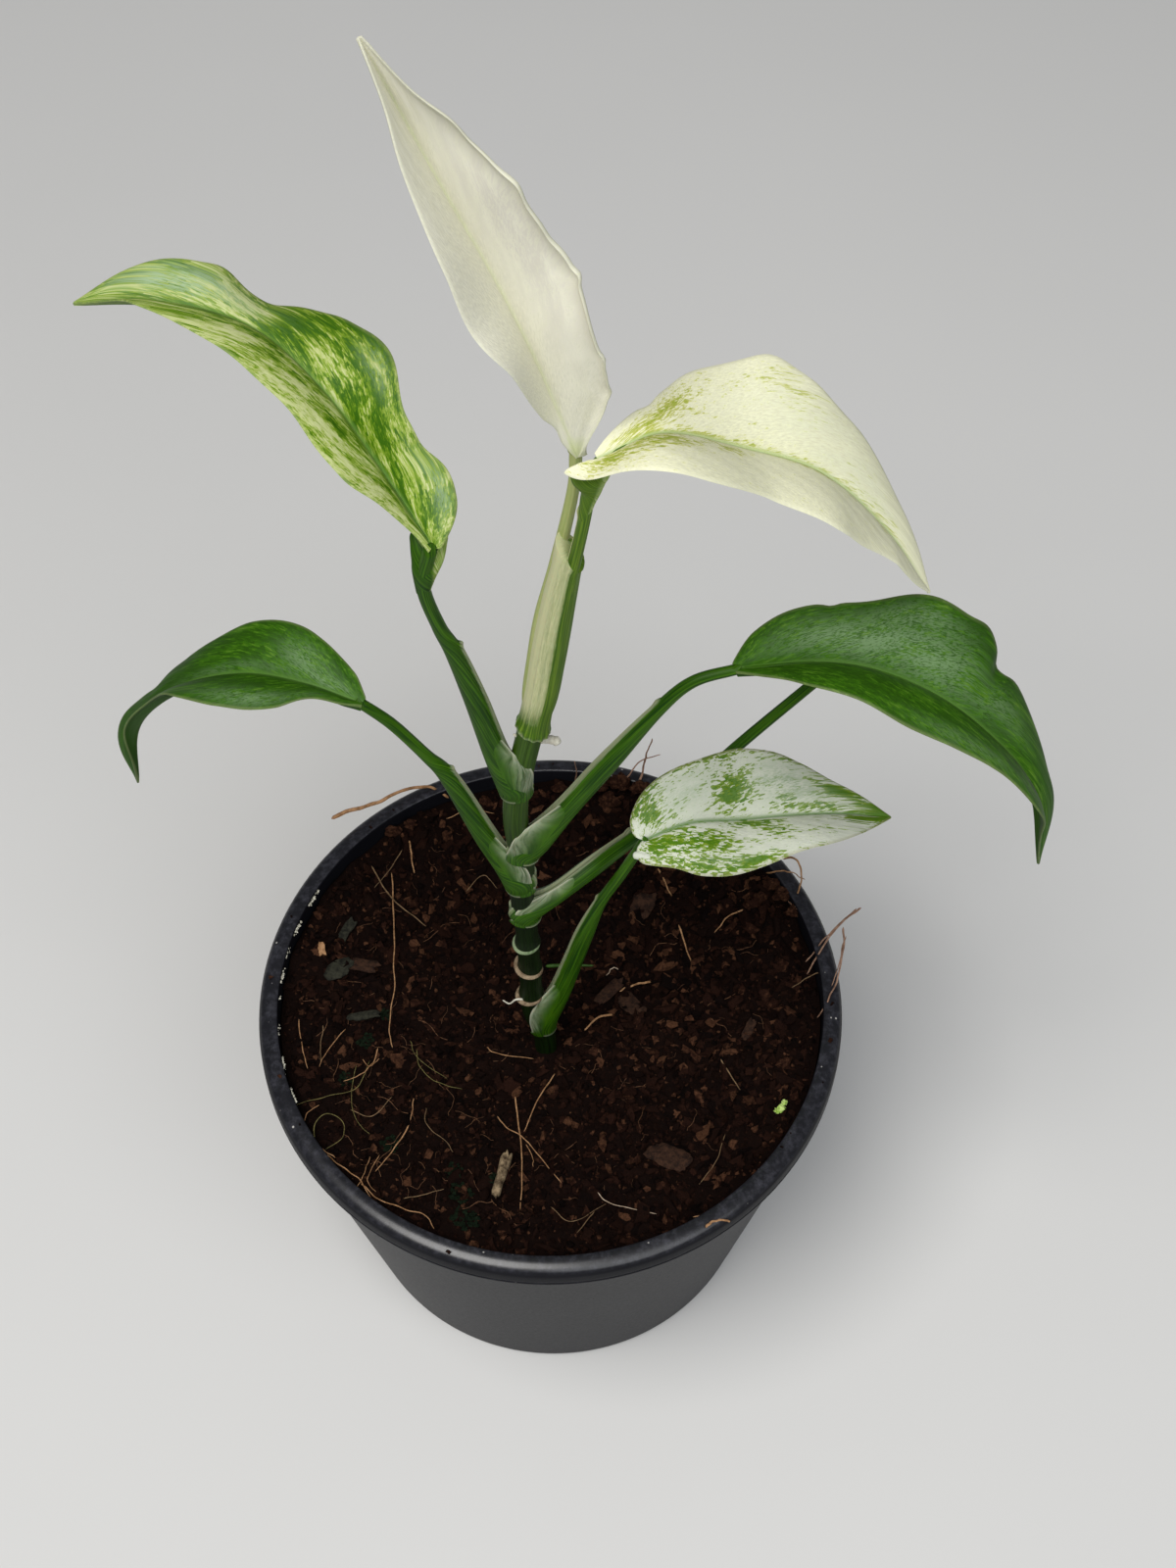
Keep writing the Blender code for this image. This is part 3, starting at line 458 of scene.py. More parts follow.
# Flat chips that stand out: (x, y, height over the soil, length, width, turn in degrees, finish).
FLAKES = [(25.6, -36.8, 0.9, 12, 6.4, -22, "bark"), (-48, 9.6, 0.9, 8, 5, 35, "grey_chip"),
          (-46.6, 19.4, 1, 7, 2.8, 62, "grey_chip"), (-42.6, 10.4, 0.7, 9, 4, -10, "bark"),
          (-41.6, -2.6, 0.7, 8.4, 2.6, 6, "grey_chip"), (13, 3.4, 1, 9.6, 3.4, 42, "bark"),
          (21, 26, 0.6, 8, 6, 70, "bark"), (18, 0.6, 0.6, 8, 5, -50, "bark"),
          (-52, 14, 0.9, 4, 2, 100, "straw"), (44, -6, 0.6, 6, 2.6, 65, "bark")]


# The green stub and the cane's short roots: points, thickness at both ends, sides, seed.
GREEN_STUB = [([(-1.2, 9.6, 90.0), (3.6, 9.4, 90.8), (9.6, 9.4, 90.6)], 0.9, 0.5, 10, 31)]
CANE_ROOTS = [
    ([(-0.8, -9.2, 207.4), (1.2, -9.1, 207.4), (3.4, -9, 206.4)], 1.5, 1.8, 14, 41),
    ([(-3.4, -9.6, 209.4), (-4.4, -9.8, 209.6), (-5, -9.9, 210.1)], 0.8, 0.5, 12, 43),
    ([(-5.2, -11.3, 113.2), (-7, -11.6, 113.6), (-8.4, -11.6, 111.8), (-9.8, -11.4, 113)],
     0.5, 0.3, 8, 45),
]

# The pale sprout's buds: (x, y, height over the soil, size).
BUDS = [(50.2, -25.4, 0.9, 1.7), (51.2, -24.2, 1.2, 1.3), (49.4, -26.2, 0.7, 1.1)]


def smooth(points, t):
    """The Catmull-Rom curve through evenly spaced points, at each t from 0 to 1."""
    points = np.array(points, float)
    points = np.vstack([2 * points[0] - points[1], points, 2 * points[-1] - points[-2]])
    place = np.clip(t, 0, 1) * (len(points) - 3)
    i = np.minimum(place.astype(int), len(points) - 4)
    u = (place - i)[..., None]
    a, b, c, d = (points[i + k] for k in range(4))
    return 0.5 * (2 * b + (c - a) * u + (2 * a - 5 * b + 4 * c - d) * u ** 2
                  + (3 * b - a - 3 * c + d) * u ** 3)


def smooth_numbers(values, t):
    return smooth([(value, 0) for value in values], t)[:, 0]


def unit(vectors):
    return vectors / np.linalg.norm(vectors, axis=-1, keepdims=True)


def full_turn(count):
    return np.linspace(0, 2 * math.pi, count, endpoint=False)


def travel(route):
    """How far along a route each of its points lies."""
    return np.concatenate([[0], np.cumsum(np.linalg.norm(np.diff(route, axis=0), axis=1))])


def step(value, low, high):
    """0 below low, 1 above high and smooth between; high may be the lower one."""
    share = np.clip((value - low) / (high - low), 0, 1)
    return share * share * (3 - 2 * share)


def bell(distance, reach):
    return np.exp(-(distance / reach) ** 2)


def ripple(value, seed):
    """A smooth random wave of about one hump per unit, from -1 to 1."""
    return np.array([noise.noise(Vector((v, seed * 7.3, seed))) for v in np.ravel(value)]
                    ).reshape(np.shape(value))


def put(name, data):
    made = bpy.data.objects.new(name, data)
    bpy.context.scene.collection.objects.link(made)
    return made


def hold(mesh, mark, values):
    """Keeps a value for each point of a mesh."""
    held = mesh.attributes.new(mark, "FLOAT", "POINT")
    held.data.foreach_set("value", np.ravel(values).astype(np.float32))


def settled(obj):
    """A plain mesh of an object with its modifiers in effect."""
    bpy.context.view_layer.update()
    seen = obj.evaluated_get(bpy.context.evaluated_depsgraph_get())
    return bpy.data.meshes.new_from_object(seen)


class Skin:
    """Closed shells in millimetres, collected into one mesh with values on its points."""

    def __init__(self):
        self.points = []
        self.faces = []
        self.marks = {}
        self.count = 0

    def add(self, points, faces, marks=None):
        points = np.reshape(points, (-1, 3))
        marks = marks or {}
        for name in set(self.marks) | set(marks):
            held = self.marks.setdefault(name, [np.zeros(self.count)])
            held.append(np.ravel(marks[name]) if name in marks else np.zeros(len(points)))
        self.faces += [tuple(int(i) + self.count for i in face) for face in faces]
        self.points.append(points)
        self.count += len(points)

    def loft(self, rings, marks=None):
        """A skin through rings of points, rings[row][place], with a face at each end."""
        rows, around = rings.shape[:2]
        near = np.arange((rows - 1) * around).reshape(rows - 1, around)
        after = np.roll(near, -1, axis=1)
        sides = np.stack([near, after, after + around, near + around], -1).reshape(-1, 4)
        ends = [tuple(range(around))[::-1], tuple(range((rows - 1) * around, rows * around))]
        self.add(rings, [*sides.tolist(), *ends], marks)

    def piece(self, name, material, flat=False):
        mesh = bpy.data.meshes.new(name)
        mesh.from_pydata((np.vstack(self.points) * MM).tolist(), [], self.faces)
        for mark, values in self.marks.items():
            hold(mesh, mark, np.concatenate(values))
        shape = bmesh.new()
        shape.from_mesh(mesh)
        bmesh.ops.recalc_face_normals(shape, faces=shape.faces)
        shape.to_mesh(mesh)
        shape.free()
        if not flat:
            mesh.shade_smooth()
            mesh.set_sharp_from_angle(angle=SHARP_EDGE)
        mesh.materials.append(material)
        return put(name, mesh)


def dress(obj, slot, *nodes):
    """Hangs a finished piece on the frame."""
    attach(obj, BODY)
    if nodes:
        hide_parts(*nodes)


def tube(points, radii, toward, around, factor=1):
    """Rings around a route. toward is the side that the first point of a ring looks to, and
    factor changes the radius at each point."""
    points = np.array(points, float)
    along = unit(np.gradient(points, axis=0))
    toward = np.broadcast_to(np.array(toward, float), points.shape)
    near = unit(toward - (toward * along).sum(-1, keepdims=True) * along)
    far = np.cross(along, near)
    angle = full_turn(around)[None, :, None]
    reach = np.array(radii, float)[:, None] * factor * np.ones(around)
    spokes = np.cos(angle) * near[:, None] + np.sin(angle) * far[:, None]
    return points[:, None] + reach[..., None] * spokes


def lathe(profile, steps):
    """Rings of a turned shape, from (radius, height) points."""
    turn = full_turn(steps)
    profile = np.array(profile, float)
    ring = np.stack([np.cos(turn), np.sin(turn)], -1)
    flat = profile[:, None, :1] * ring[None]
    high = np.broadcast_to(profile[:, None, 1:], (len(profile), steps, 1))
    return np.concatenate([flat, high], -1)


def rounded(corners):
    """An outline of (x, y, rounding) corners with each corner turned into an arc."""
    made = []
    for k, (x, y, size) in enumerate(corners):
        here = np.array((x, y), float)
        if not size or k in (0, len(corners) - 1):
            made.append(here)
            continue
        before = here + unit(np.array(corners[k - 1][:2], float) - here) * size
        after = here + unit(np.array(corners[k + 1][:2], float) - here) * size
        for t in np.linspace(0, 1, CORNER_STEPS):
            made.append((1 - t) ** 2 * before + 2 * t * (1 - t) * here + t * t * after)
    return made


class Signal:
    """A socket that takes part in Python expressions, which add Math nodes to its graph."""

    def __init__(self, graph, socket):
        self.graph, self.socket = graph, socket

    def __add__(self, other):
        return self.graph.math("ADD", self, other)

    def __sub__(self, other):
        return self.graph.math("SUBTRACT", self, other)

    def __rsub__(self, other):
        return self.graph.math("SUBTRACT", other, self)

    def __mul__(self, other):
        return self.graph.math("MULTIPLY", self, other)

    def __pow__(self, other):
        return self.graph.math("POWER", self, other)

    __radd__ = __add__
    __rmul__ = __mul__


class Graph:
    """A node tree that is built from expressions."""

    def __init__(self, tree):
        self.tree = tree

    def node(self, kind, inputs=None, output=0, **modes):
        """Adds a node: its modes first, then the values or links of its sockets."""
        made = self.tree.nodes.new(kind)
        for key, value in modes.items():
            if key == "stops":
                self.set_stops(made.color_ramp.elements, value)
            else:
                setattr(made, key, value)
        for key, value in (inputs or {}).items():
            if isinstance(value, Signal):
                self.tree.links.new(value.socket, made.inputs[key])
            else:
                made.inputs[key].default_value = value
        return Signal(self, made.outputs[output]) if made.outputs else None

    @staticmethod
    def set_stops(elements, stops):
        while len(elements) < len(stops):
            elements.new(1)
        for element, (place, colour) in zip(elements, stops):
            element.position = place
            element.color = (*colour, 1)

    def math(self, operation, *values, clamp=False):
        return self.node("ShaderNodeMath", dict(enumerate(values)),
                         operation=operation, use_clamp=clamp)

    def vector(self, operation, *values):
        return self.node("ShaderNodeVectorMath", dict(enumerate(values)), operation=operation)

    def combine(self, x, y, z):
        return self.node("ShaderNodeCombineXYZ", {"X": x, "Y": y, "Z": z})

    def step(self, value, low, high):
        return self.node("ShaderNodeMapRange", {"Value": value, "From Min": low, "From Max": high},
                         interpolation_type="SMOOTHSTEP")

    def noise(self, place, scale, detail, roughness):
        return self.node("ShaderNodeTexNoise", {"Vector": place, "Scale": scale,
                                                "Detail": detail, "Roughness": roughness})

    def cells(self, place, scale, output):
        return self.node("ShaderNodeTexVoronoi", {"Vector": place, "Scale": scale}, output)


class Paint(Graph):
    """A material written as expressions on its surface's values."""

    def __init__(self, name):
        self.material = bpy.data.materials.new(name)
        self.material.use_nodes = True
        super().__init__(self.material.node_tree)
        self.tree.nodes.clear()

    def mark(self, name):
        """A value that the mesh holds on its points."""
        return self.node("ShaderNodeAttribute", output="Fac", attribute_name=name)

    def place(self):
        """Object coordinates in millimetres."""
        spot = self.node("ShaderNodeTexCoord", output="Object")
        return self.vector("MULTIPLY", spot, (1 / MM, 1 / MM, 1 / MM))

    def height(self, vector):
        return self.node("ShaderNodeSeparateXYZ", {0: vector}, "Z")

    def mix(self, first, second, share, blend="MIX"):
        """Two colours blended by a share from 0 to 1."""
        full = [(*c, 1) if isinstance(c, tuple) else c for c in (first, second)]
        return self.node("ShaderNodeMix", {0: share, 6: full[0], 7: full[1]}, 2,
                         data_type="RGBA", blend_type=blend)

    def ramp(self, value, stops):
        return self.node("ShaderNodeValToRGB", {"Fac": value}, stops=stops)

    def grey(self, value):
        return self.node("ShaderNodeCombineColor", {0: value, 1: value, 2: value})

    def relief(self, height, depth, strength=1.0):
        return self.node("ShaderNodeBump", {"Height": height, "Distance": depth * MM,
                                            "Strength": strength})

    def finish(self, colour, roughness, normal=None, **constants):
        """The closing shader; constants are its own sockets, with _ for a space."""
        full = (*colour, 1) if isinstance(colour, tuple) else colour
        inputs = {"Base Color": full, "Roughness": roughness}
        if normal is not None:
            inputs["Normal"] = normal
        inputs.update({key.replace("_", " "): value for key, value in constants.items()})
        shader = self.node("ShaderNodeBsdfPrincipled", inputs)
        self.node("ShaderNodeOutputMaterial", {"Surface": shader})
        return self.material


class Growth(Graph):
    """A geometry node group with named inputs."""

    def __init__(self, name, inputs):
        super().__init__(bpy.data.node_groups.new(name, "GeometryNodeTree"))
        sides = self.tree.interface
        sides.new_socket(name="Geometry", in_out="INPUT", socket_type="NodeSocketGeometry")
        sides.new_socket(name="Geometry", in_out="OUTPUT", socket_type="NodeSocketGeometry")
        self.keys = {}
        for label, kind in inputs.items():
            made = sides.new_socket(name=label, in_out="INPUT", socket_type=kind)
            self.keys[label] = made.identifier
        self.entry = self.tree.nodes.new("NodeGroupInput")

    def input(self, label):
        return Signal(self, self.entry.outputs[label])

    def random(self, low, high, seed):
        return self.node("FunctionNodeRandomValue", {2: low, 3: high, "Seed": seed}, 1,
                         data_type="FLOAT")

    def finish(self, geometry, material):
        """Ends the tree with real meshes and their finish."""
        real = self.node("GeometryNodeRealizeInstances", {"Geometry": geometry})
        painted = self.node("GeometryNodeSetMaterial", {"Geometry": real, "Material": material})
        self.node("NodeGroupOutput", {"Geometry": painted})
        return self


def grow(name, host, growth, values):
    """Runs a growth on a host mesh and returns the result as a plain mesh object."""
    modifier = host.modifiers.new("growth", "NODES")
    modifier.node_group = growth.tree
    for label, value in values.items():
        modifier[growth.keys[label]] = value
    mesh = settled(host)
    bpy.data.objects.remove(host)
    mesh.name = name
    return put(name, mesh)


def settings():
    return bpy.context.scene.monstera


def leaf_colours(kind):
    """The ramp from the palest to the greenest tissue of a leaf, and its other tones."""
    tones = settings().leaves
    green, lime = tuple(tones.green), tuple(tones.lime)
    cream, white = tuple(tones.cream), tuple(tones.white)
    deep = tuple(0.6 * c for c in green)
    return {
        "marbled": {"stops": [(0.40, (0.58, 0.61, 0.51)), (0.46, (0.36, 0.45, 0.23)),
                              (0.50, (0.22, 0.32, 0.05)), (0.68, (0.155, 0.245, 0.012)),
                              (0.9, (0.07, 0.17, 0.006))],
                    "rib": (0.10, 0.20, 0.05), "milk": (0.29, 0.37, 0.24),
                    "under": (0.4, 0.5, 0.28), "edge": (0.22, 0.20, 0.10)},
        "green": {"stops": [(0.25, (0.12, 0.23, 0.03)), (0.5, (0.060, 0.16, 0.006)), (0.70, green),
                            (0.95, deep)],
                  # The green leaves' milky colour is partly pale tissue and partly a painted sheen.
                  "rib": (0.075, 0.17, 0.025), "milk": (0.15, 0.25, 0.11),
                  # The green leaves' lower face is painted dark as painted shade, so that their
                  # curled tips look shaded.
                  "under": (0.02, 0.055, 0.008), "edge": (0.20, 0.24, 0.10)},
        "mottled": {"stops": [(0.10, (0.52, 0.57, 0.27)), (0.32, (0.34, 0.42, 0.10)), (0.50, lime),
                              (0.68, (0.09, 0.19, 0.006)), (0.92, (0.035, 0.11, 0.003))],
                    "rib": (0.10, 0.20, 0.035), "milk": (0.34, 0.45, 0.28),
                    "under": (0.05, 0.13, 0.008), "edge": (0.34, 0.40, 0.16)},
        "cream": {"stops": [(0.33, cream), (0.42, (0.60, 0.61, 0.27)), (0.54, (0.42, 0.44, 0.09)),
                            (0.80, (0.26, 0.34, 0.025))],
                  "rib": (0.42, 0.52, 0.25), "milk": (0.60, 0.66, 0.50),
                  "under": (0.6, 0.64, 0.4), "edge": (0.74, 0.74, 0.55)},
        "white": {"stops": [(0.3, white), (0.5, (0.62, 0.65, 0.40)), (0.8, (0.42, 0.5, 0.16))],
                  # The white leaf's milky grey is painted shade for its right half, which turns
                  # away from the light.
                  "rib": (0.60, 0.64, 0.38), "milk": (0.52, 0.495, 0.44),
                  "under": (0.7, 0.7, 0.55), "edge": (0.66, 0.66, 0.50)},
    }[kind]


# How the green breaks up: long streaks, blocky cells, small flecks and wide clouds.
BREAK_UP = {"marbled": (0.9, 1.15, 1.5, 1.2), "green": (0.9, 0.5, 1.3, 0.9),
            "mottled": (0.8, 0.6, 1.6, 1.8), "cream": (0.7, 0.55, 1.3, 0.5),
            "white": (0.1, 0.05, 0.2, 0.3)}


def leaf_paint(kind):
    """Leaf tissue: green and pale cells that follow the veins, with a waxy skin, and milky patches
    that are partly a painted sheen and painted shade.
    """
    paint = Paint("leaf_" + kind)
    tones = leaf_colours(kind)
    streaks, blocks, flecks, clouds = BREAK_UP[kind]
    run, vein, hand = paint.mark("run"), paint.mark("vein"), paint.mark("hand")
    streak = paint.noise(paint.combine(run * 1.1, vein * 0.65, hand), 1.0, 3.0, 0.6)
    fleck = paint.noise(paint.combine(run * 2.8, vein * 1.5, hand), 1.0, 3.0, 0.65)
    cell = paint.cells(paint.combine(run * 2.2, vein * 1.1, hand), 1.0, "Color")
    cloud = paint.noise(paint.combine(run * 0.38, vein * 0.16, hand), 1.0, 2.0, 0.5)
    amount = (paint.mark("green") + streaks * (streak - 0.5) + blocks * (cell - 0.5)
              + flecks * (fleck - 0.5) + clouds * (cloud - 0.5))
    colour = paint.ramp(amount, tones["stops"])
    shade = paint.step(fleck, 0.25, 0.75) * 0.28 + 0.86
    colour = paint.mix(colour, paint.grey(shade), 1.0, "MULTIPLY")
    cover = paint.step(fleck * 0.7 + cloud * 0.3, 0.41, 0.57) * 0.95
    # Milky patches: pale tissue, partly a painted sheen on the green leaves and painted shade on
    # the white leaf.
    milk_and_painted_light = paint.math("MULTIPLY", paint.mark("milk"), cover, clamp=True)
    colour = paint.mix(colour, tones["milk"], milk_and_painted_light)
    # under is the lower face's colour; on the green leaves it is painted shade.
    for place, share in (("rib", 0.4 if kind == "white" else 0.85), ("under", 0.7), ("edge", 0.7)):
        colour = paint.mix(colour, tones[place], paint.mark(place) * share)
    height = streak * 0.6 + fleck * 0.3
    soft = {"white": 0.15, "cream": 0.25}.get(kind, 0.55)
    return paint.finish(colour, 0.42 + 0.16 * fleck + 0.05 * milk_and_painted_light,
                        paint.relief(height, 0.12, soft), Specular_IOR_Level=0.12,
                        Subsurface_Weight=0.10, Subsurface_Scale=TISSUE_DEPTH,
                        Subsurface_Radius=(1.0, 1.0, 0.5))


def stalk_paint(kind):
    """Leaf stalks: striped green, pale along the sheath's thin edges."""
    deep, light, pale = {
        "green": ((0.007, 0.036, 0.001), (0.044, 0.125, 0.003), (0.27, 0.30, 0.18)),
        "cream": ((0.038, 0.10, 0.003), (0.13, 0.225, 0.013), (0.54, 0.55, 0.31)),
        "white": ((0.30, 0.36, 0.12), (0.42, 0.46, 0.18), (0.55, 0.55, 0.30)),
    }[kind]
    paint = Paint("stalk_" + kind)
    run, turn = paint.mark("run"), paint.mark("turn")
    stripe = paint.noise(paint.combine(run * 0.05, turn * 3.0, 0.0), 1.0, 3.0, 0.6)
    speck = paint.noise(paint.combine(run * 0.4, turn * 5.0, 3.0), 1.0, 3.0, 0.6)
    colour = paint.mix(deep, light, paint.step(stripe, 0.35, 0.68))
    torn = paint.mark("pale") * 1.3 + (speck - 0.5) + (stripe - 0.5) * 0.8 - 0.32
    colour = paint.mix(colour, pale, paint.math("MULTIPLY", torn, 0.9, clamp=True))
    grain = stripe * 0.6 + speck * 0.4
    flesh = paint.ramp(grain, [(0.40, (0.46, 0.52, 0.25)), (0.50, (0.24, 0.34, 0.07)),
                               (0.62, (0.09, 0.19, 0.01))])
    colour = paint.mix(colour, flesh, paint.mark("flesh"))
    colour = paint.mix(colour, (0.42, 0.44, 0.32), paint.mark("lip") * 0.5)
    thin = paint.mix((0.06, 0.10, 0.035), (0.32, 0.35, 0.25), paint.step(grain, 0.38, 0.64))
    colour = paint.mix(colour, thin, paint.mark("clear") * 0.85)
    colour = paint.mix(colour, (0.46, 0.47, 0.35), paint.mark("rim") * 0.85)
    return paint.finish(colour, 0.36 + 0.2 * speck,
                        paint.relief(stripe * 0.7 + speck * 0.3, 0.12, 0.7),
                        Specular_IOR_Level=0.12, Subsurface_Weight=0.1,
                        Subsurface_Scale=TISSUE_DEPTH)


def cane_paint():
    """The cane's glossy dark green skin with fine ribs along it."""
    paint = Paint("cane_green")
    run, turn = paint.mark("run"), paint.mark("turn")
    stripe = paint.noise(paint.combine(run * 0.06, turn * 3.4, 0.0), 1.0, 3.0, 0.6)
    # The cane is painted darker towards the bottom and greener towards the top.
    top = paint.mark("young")
    deep = paint.mix((0.002, 0.005, 0.001), (0.016, 0.046, 0.002), top)
    light = paint.mix((0.006, 0.017, 0.002), (0.046, 0.105, 0.005), top)
    colour = paint.mix(deep, light, paint.step(stripe, 0.3, 0.7))
    return paint.finish(colour, 0.36 + 0.14 * stripe, paint.relief(stripe, 0.18, 0.7),
                        Specular_IOR_Level=0.14)


def tissue_paint(name, dark, light, roughness, grain):
    """A dry or woody finish between two tones, with fine grain."""
    paint = Paint(name)
    place = paint.place()
    wave = paint.noise(place, 0.35 * grain, 4.0, 0.65)
    fine = paint.noise(place, 1.6 * grain, 3.0, 0.6)
    colour = paint.mix(dark, light, paint.step(wave * 0.7 + fine * 0.3, 0.34, 0.66))
    return paint.finish(colour, roughness + 0.2 * (fine - 0.5), paint.relief(fine, 0.2, 0.9),
                        Specular_IOR_Level=0.15)


def pot_paint():
    """Black moulded plastic with dust and a painted bluish sheen on its upper faces, and faint
    turning marks.
    """
    paint = Paint("pot_plastic")
    place = paint.place()
    pock = paint.noise(place, 1.4, 4.0, 0.6)
    cloud = paint.noise(place, 0.06, 3.0, 0.55)
    top = paint.step(paint.height(paint.node("ShaderNodeNewGeometry", output="Normal")), 0.35, 0.8)
    dots = paint.cells(place, DUST_SCALE, "Distance")
    size = paint.cells(place, DUST_SCALE, "Color") * 0.16
    dust = top * (1 - paint.step(dots, size * 0.5, size)) * paint.step(size, 0.075, 0.12)
    # Painted sheen: patches of the upper faces are lightened to bluish grey as a painted reflection
    # of the lights.
    painted_sheen = top * paint.step(paint.noise(place, 0.5, 5.0, 0.7), 0.4, 0.8)
    base = tuple(settings().pot.plastic)
    colour = paint.mix(base, tuple(c * 1.9 + 0.004 for c in base), cloud)
    colour = paint.mix(colour, (0.10, 0.10, 0.125), painted_sheen * 0.36)
    colour = paint.mix(colour, (0.5, 0.48, 0.45), dust * 0.85)
    marks = paint.math("PINGPONG", paint.height(place), 0.35)
    return paint.finish(colour, 0.33 + 0.16 * pock + 0.12 * painted_sheen,
                        paint.relief(pock * 0.6 + marks * 0.25, 0.08, 0.5), Coat_Weight=top * 0.8,
                        Coat_Roughness=0.26, Specular_IOR_Level=0.05)


def soil_paint(name, brightness=1.0):
    """Moist coir and bark: dark brown pieces, a few of them tan."""
    paint = Paint(name)
    place = paint.place()
    tint = paint.mark("tint")
    crumb = paint.noise(place, 0.9, 5.0, 0.7)
    grain = paint.noise(place, 3.2, 3.0, 0.65)
    own = settings().soil
    dark, mid, light = tuple(own.dark), tuple(own.middle), tuple(own.light)
    body = paint.math("MULTIPLY_ADD", crumb - 0.5, 0.6, tint)
    colour = paint.ramp(body, [(0.0, dark), (0.5, mid), (0.85, tuple(1.7 * c for c in mid)),
                               (1.0, light)])
    if brightness != 1.0:
        colour = paint.mix(colour, (brightness,) * 3, 1.0, "MULTIPLY")
    colour = paint.mix(colour, tuple(0.6 * c for c in dark), paint.step(grain, 0.45, 0.75) * 0.6)
    return paint.finish(colour, 0.9 - 0.15 * grain, paint.relief(crumb + grain * 0.6, 0.5, 1.0),
                        Specular_IOR_Level=0.06)


def crust_paint():
    """Whitish mineral deposit."""
    paint = Paint("mineral_crust")
    grain = paint.noise(paint.place(), 2.4, 4.0, 0.7)
    colour = paint.mix((0.30, 0.28, 0.20), (0.70, 0.68, 0.58), paint.step(grain, 0.35, 0.6))
    return paint.finish(colour, 0.85, paint.relief(grain, 0.2, 0.8))


def moss_paint():
    """Dark wet moss with paler tips."""
    paint = Paint("moss")
    place = paint.place()
    tuft = paint.noise(place, 1.1, 5.0, 0.7)
    fine = paint.noise(place, 4.5, 3.0, 0.7)
    colour = paint.ramp(tuft, [(0.3, (0.003, 0.006, 0.003)), (0.55, (0.008, 0.015, 0.007)),
                               (0.75, (0.022, 0.034, 0.016))])
    return paint.finish(colour, 0.9 - 0.2 * fine, paint.relief(fine, 0.5, 1.0),
                        Specular_IOR_Level=0.06)


# Dark tone, light tone, roughness and grain of the plain finishes.
TISSUES = {
    "straw": ((0.20, 0.10, 0.042), (0.46, 0.26, 0.13), 0.55, 2.0),
    "twig": ((0.10, 0.062, 0.03), (0.25, 0.16, 0.085), 0.6, 2.0),
    "coir_thread": ((0.045, 0.02, 0.011), (0.20, 0.10, 0.05), 0.6, 2.0),
    "root_brown": ((0.15, 0.08, 0.05), (0.36, 0.22, 0.15), 0.6, 2.0),
    "pale_root": ((0.34, 0.24, 0.16), (0.62, 0.5, 0.38), 0.5, 2.0),
    "moss_thread": ((0.05, 0.045, 0.014), (0.20, 0.17, 0.06), 0.6, 2.0),
    "papery": ((0.11, 0.07, 0.04), (0.31, 0.235, 0.15), 0.6, 2.2),
    "scar_green": ((0.07, 0.13, 0.045), (0.25, 0.31, 0.18), 0.45, 1.6),
    "aerial_root": ((0.45, 0.42, 0.33), (0.68, 0.66, 0.56), 0.5, 1.4),
    "bark": ((0.007, 0.003, 0.002), (0.048, 0.022, 0.012), 0.85, 2.4),
    "grey_chip": ((0.004, 0.004, 0.003), (0.030, 0.030, 0.020), 0.8, 2.0),
    "dead_twig": ((0.03, 0.018, 0.009), (0.30, 0.22, 0.13), 0.85, 1.3),
    "sprout": ((0.22, 0.40, 0.03), (0.55, 0.68, 0.24), 0.4, 2.4),
    "stub_green": ((0.015, 0.045, 0.006), (0.05, 0.11, 0.02), 0.4, 1.6),
}

PAINTS = {}


def finish_for(name, make, *values):
    """One material for each finish, made when it is first used."""
    if name not in PAINTS:
        PAINTS[name] = make(*values)
    return PAINTS[name]


def tissue(name):
    return finish_for(name, tissue_paint, name, *TISSUES[name])


def stalk_finish(leaf):
    kind = leaf["paint"] if leaf["paint"] in ("cream", "white") else "green"
    return finish_for("stalk_" + kind, stalk_paint, kind)


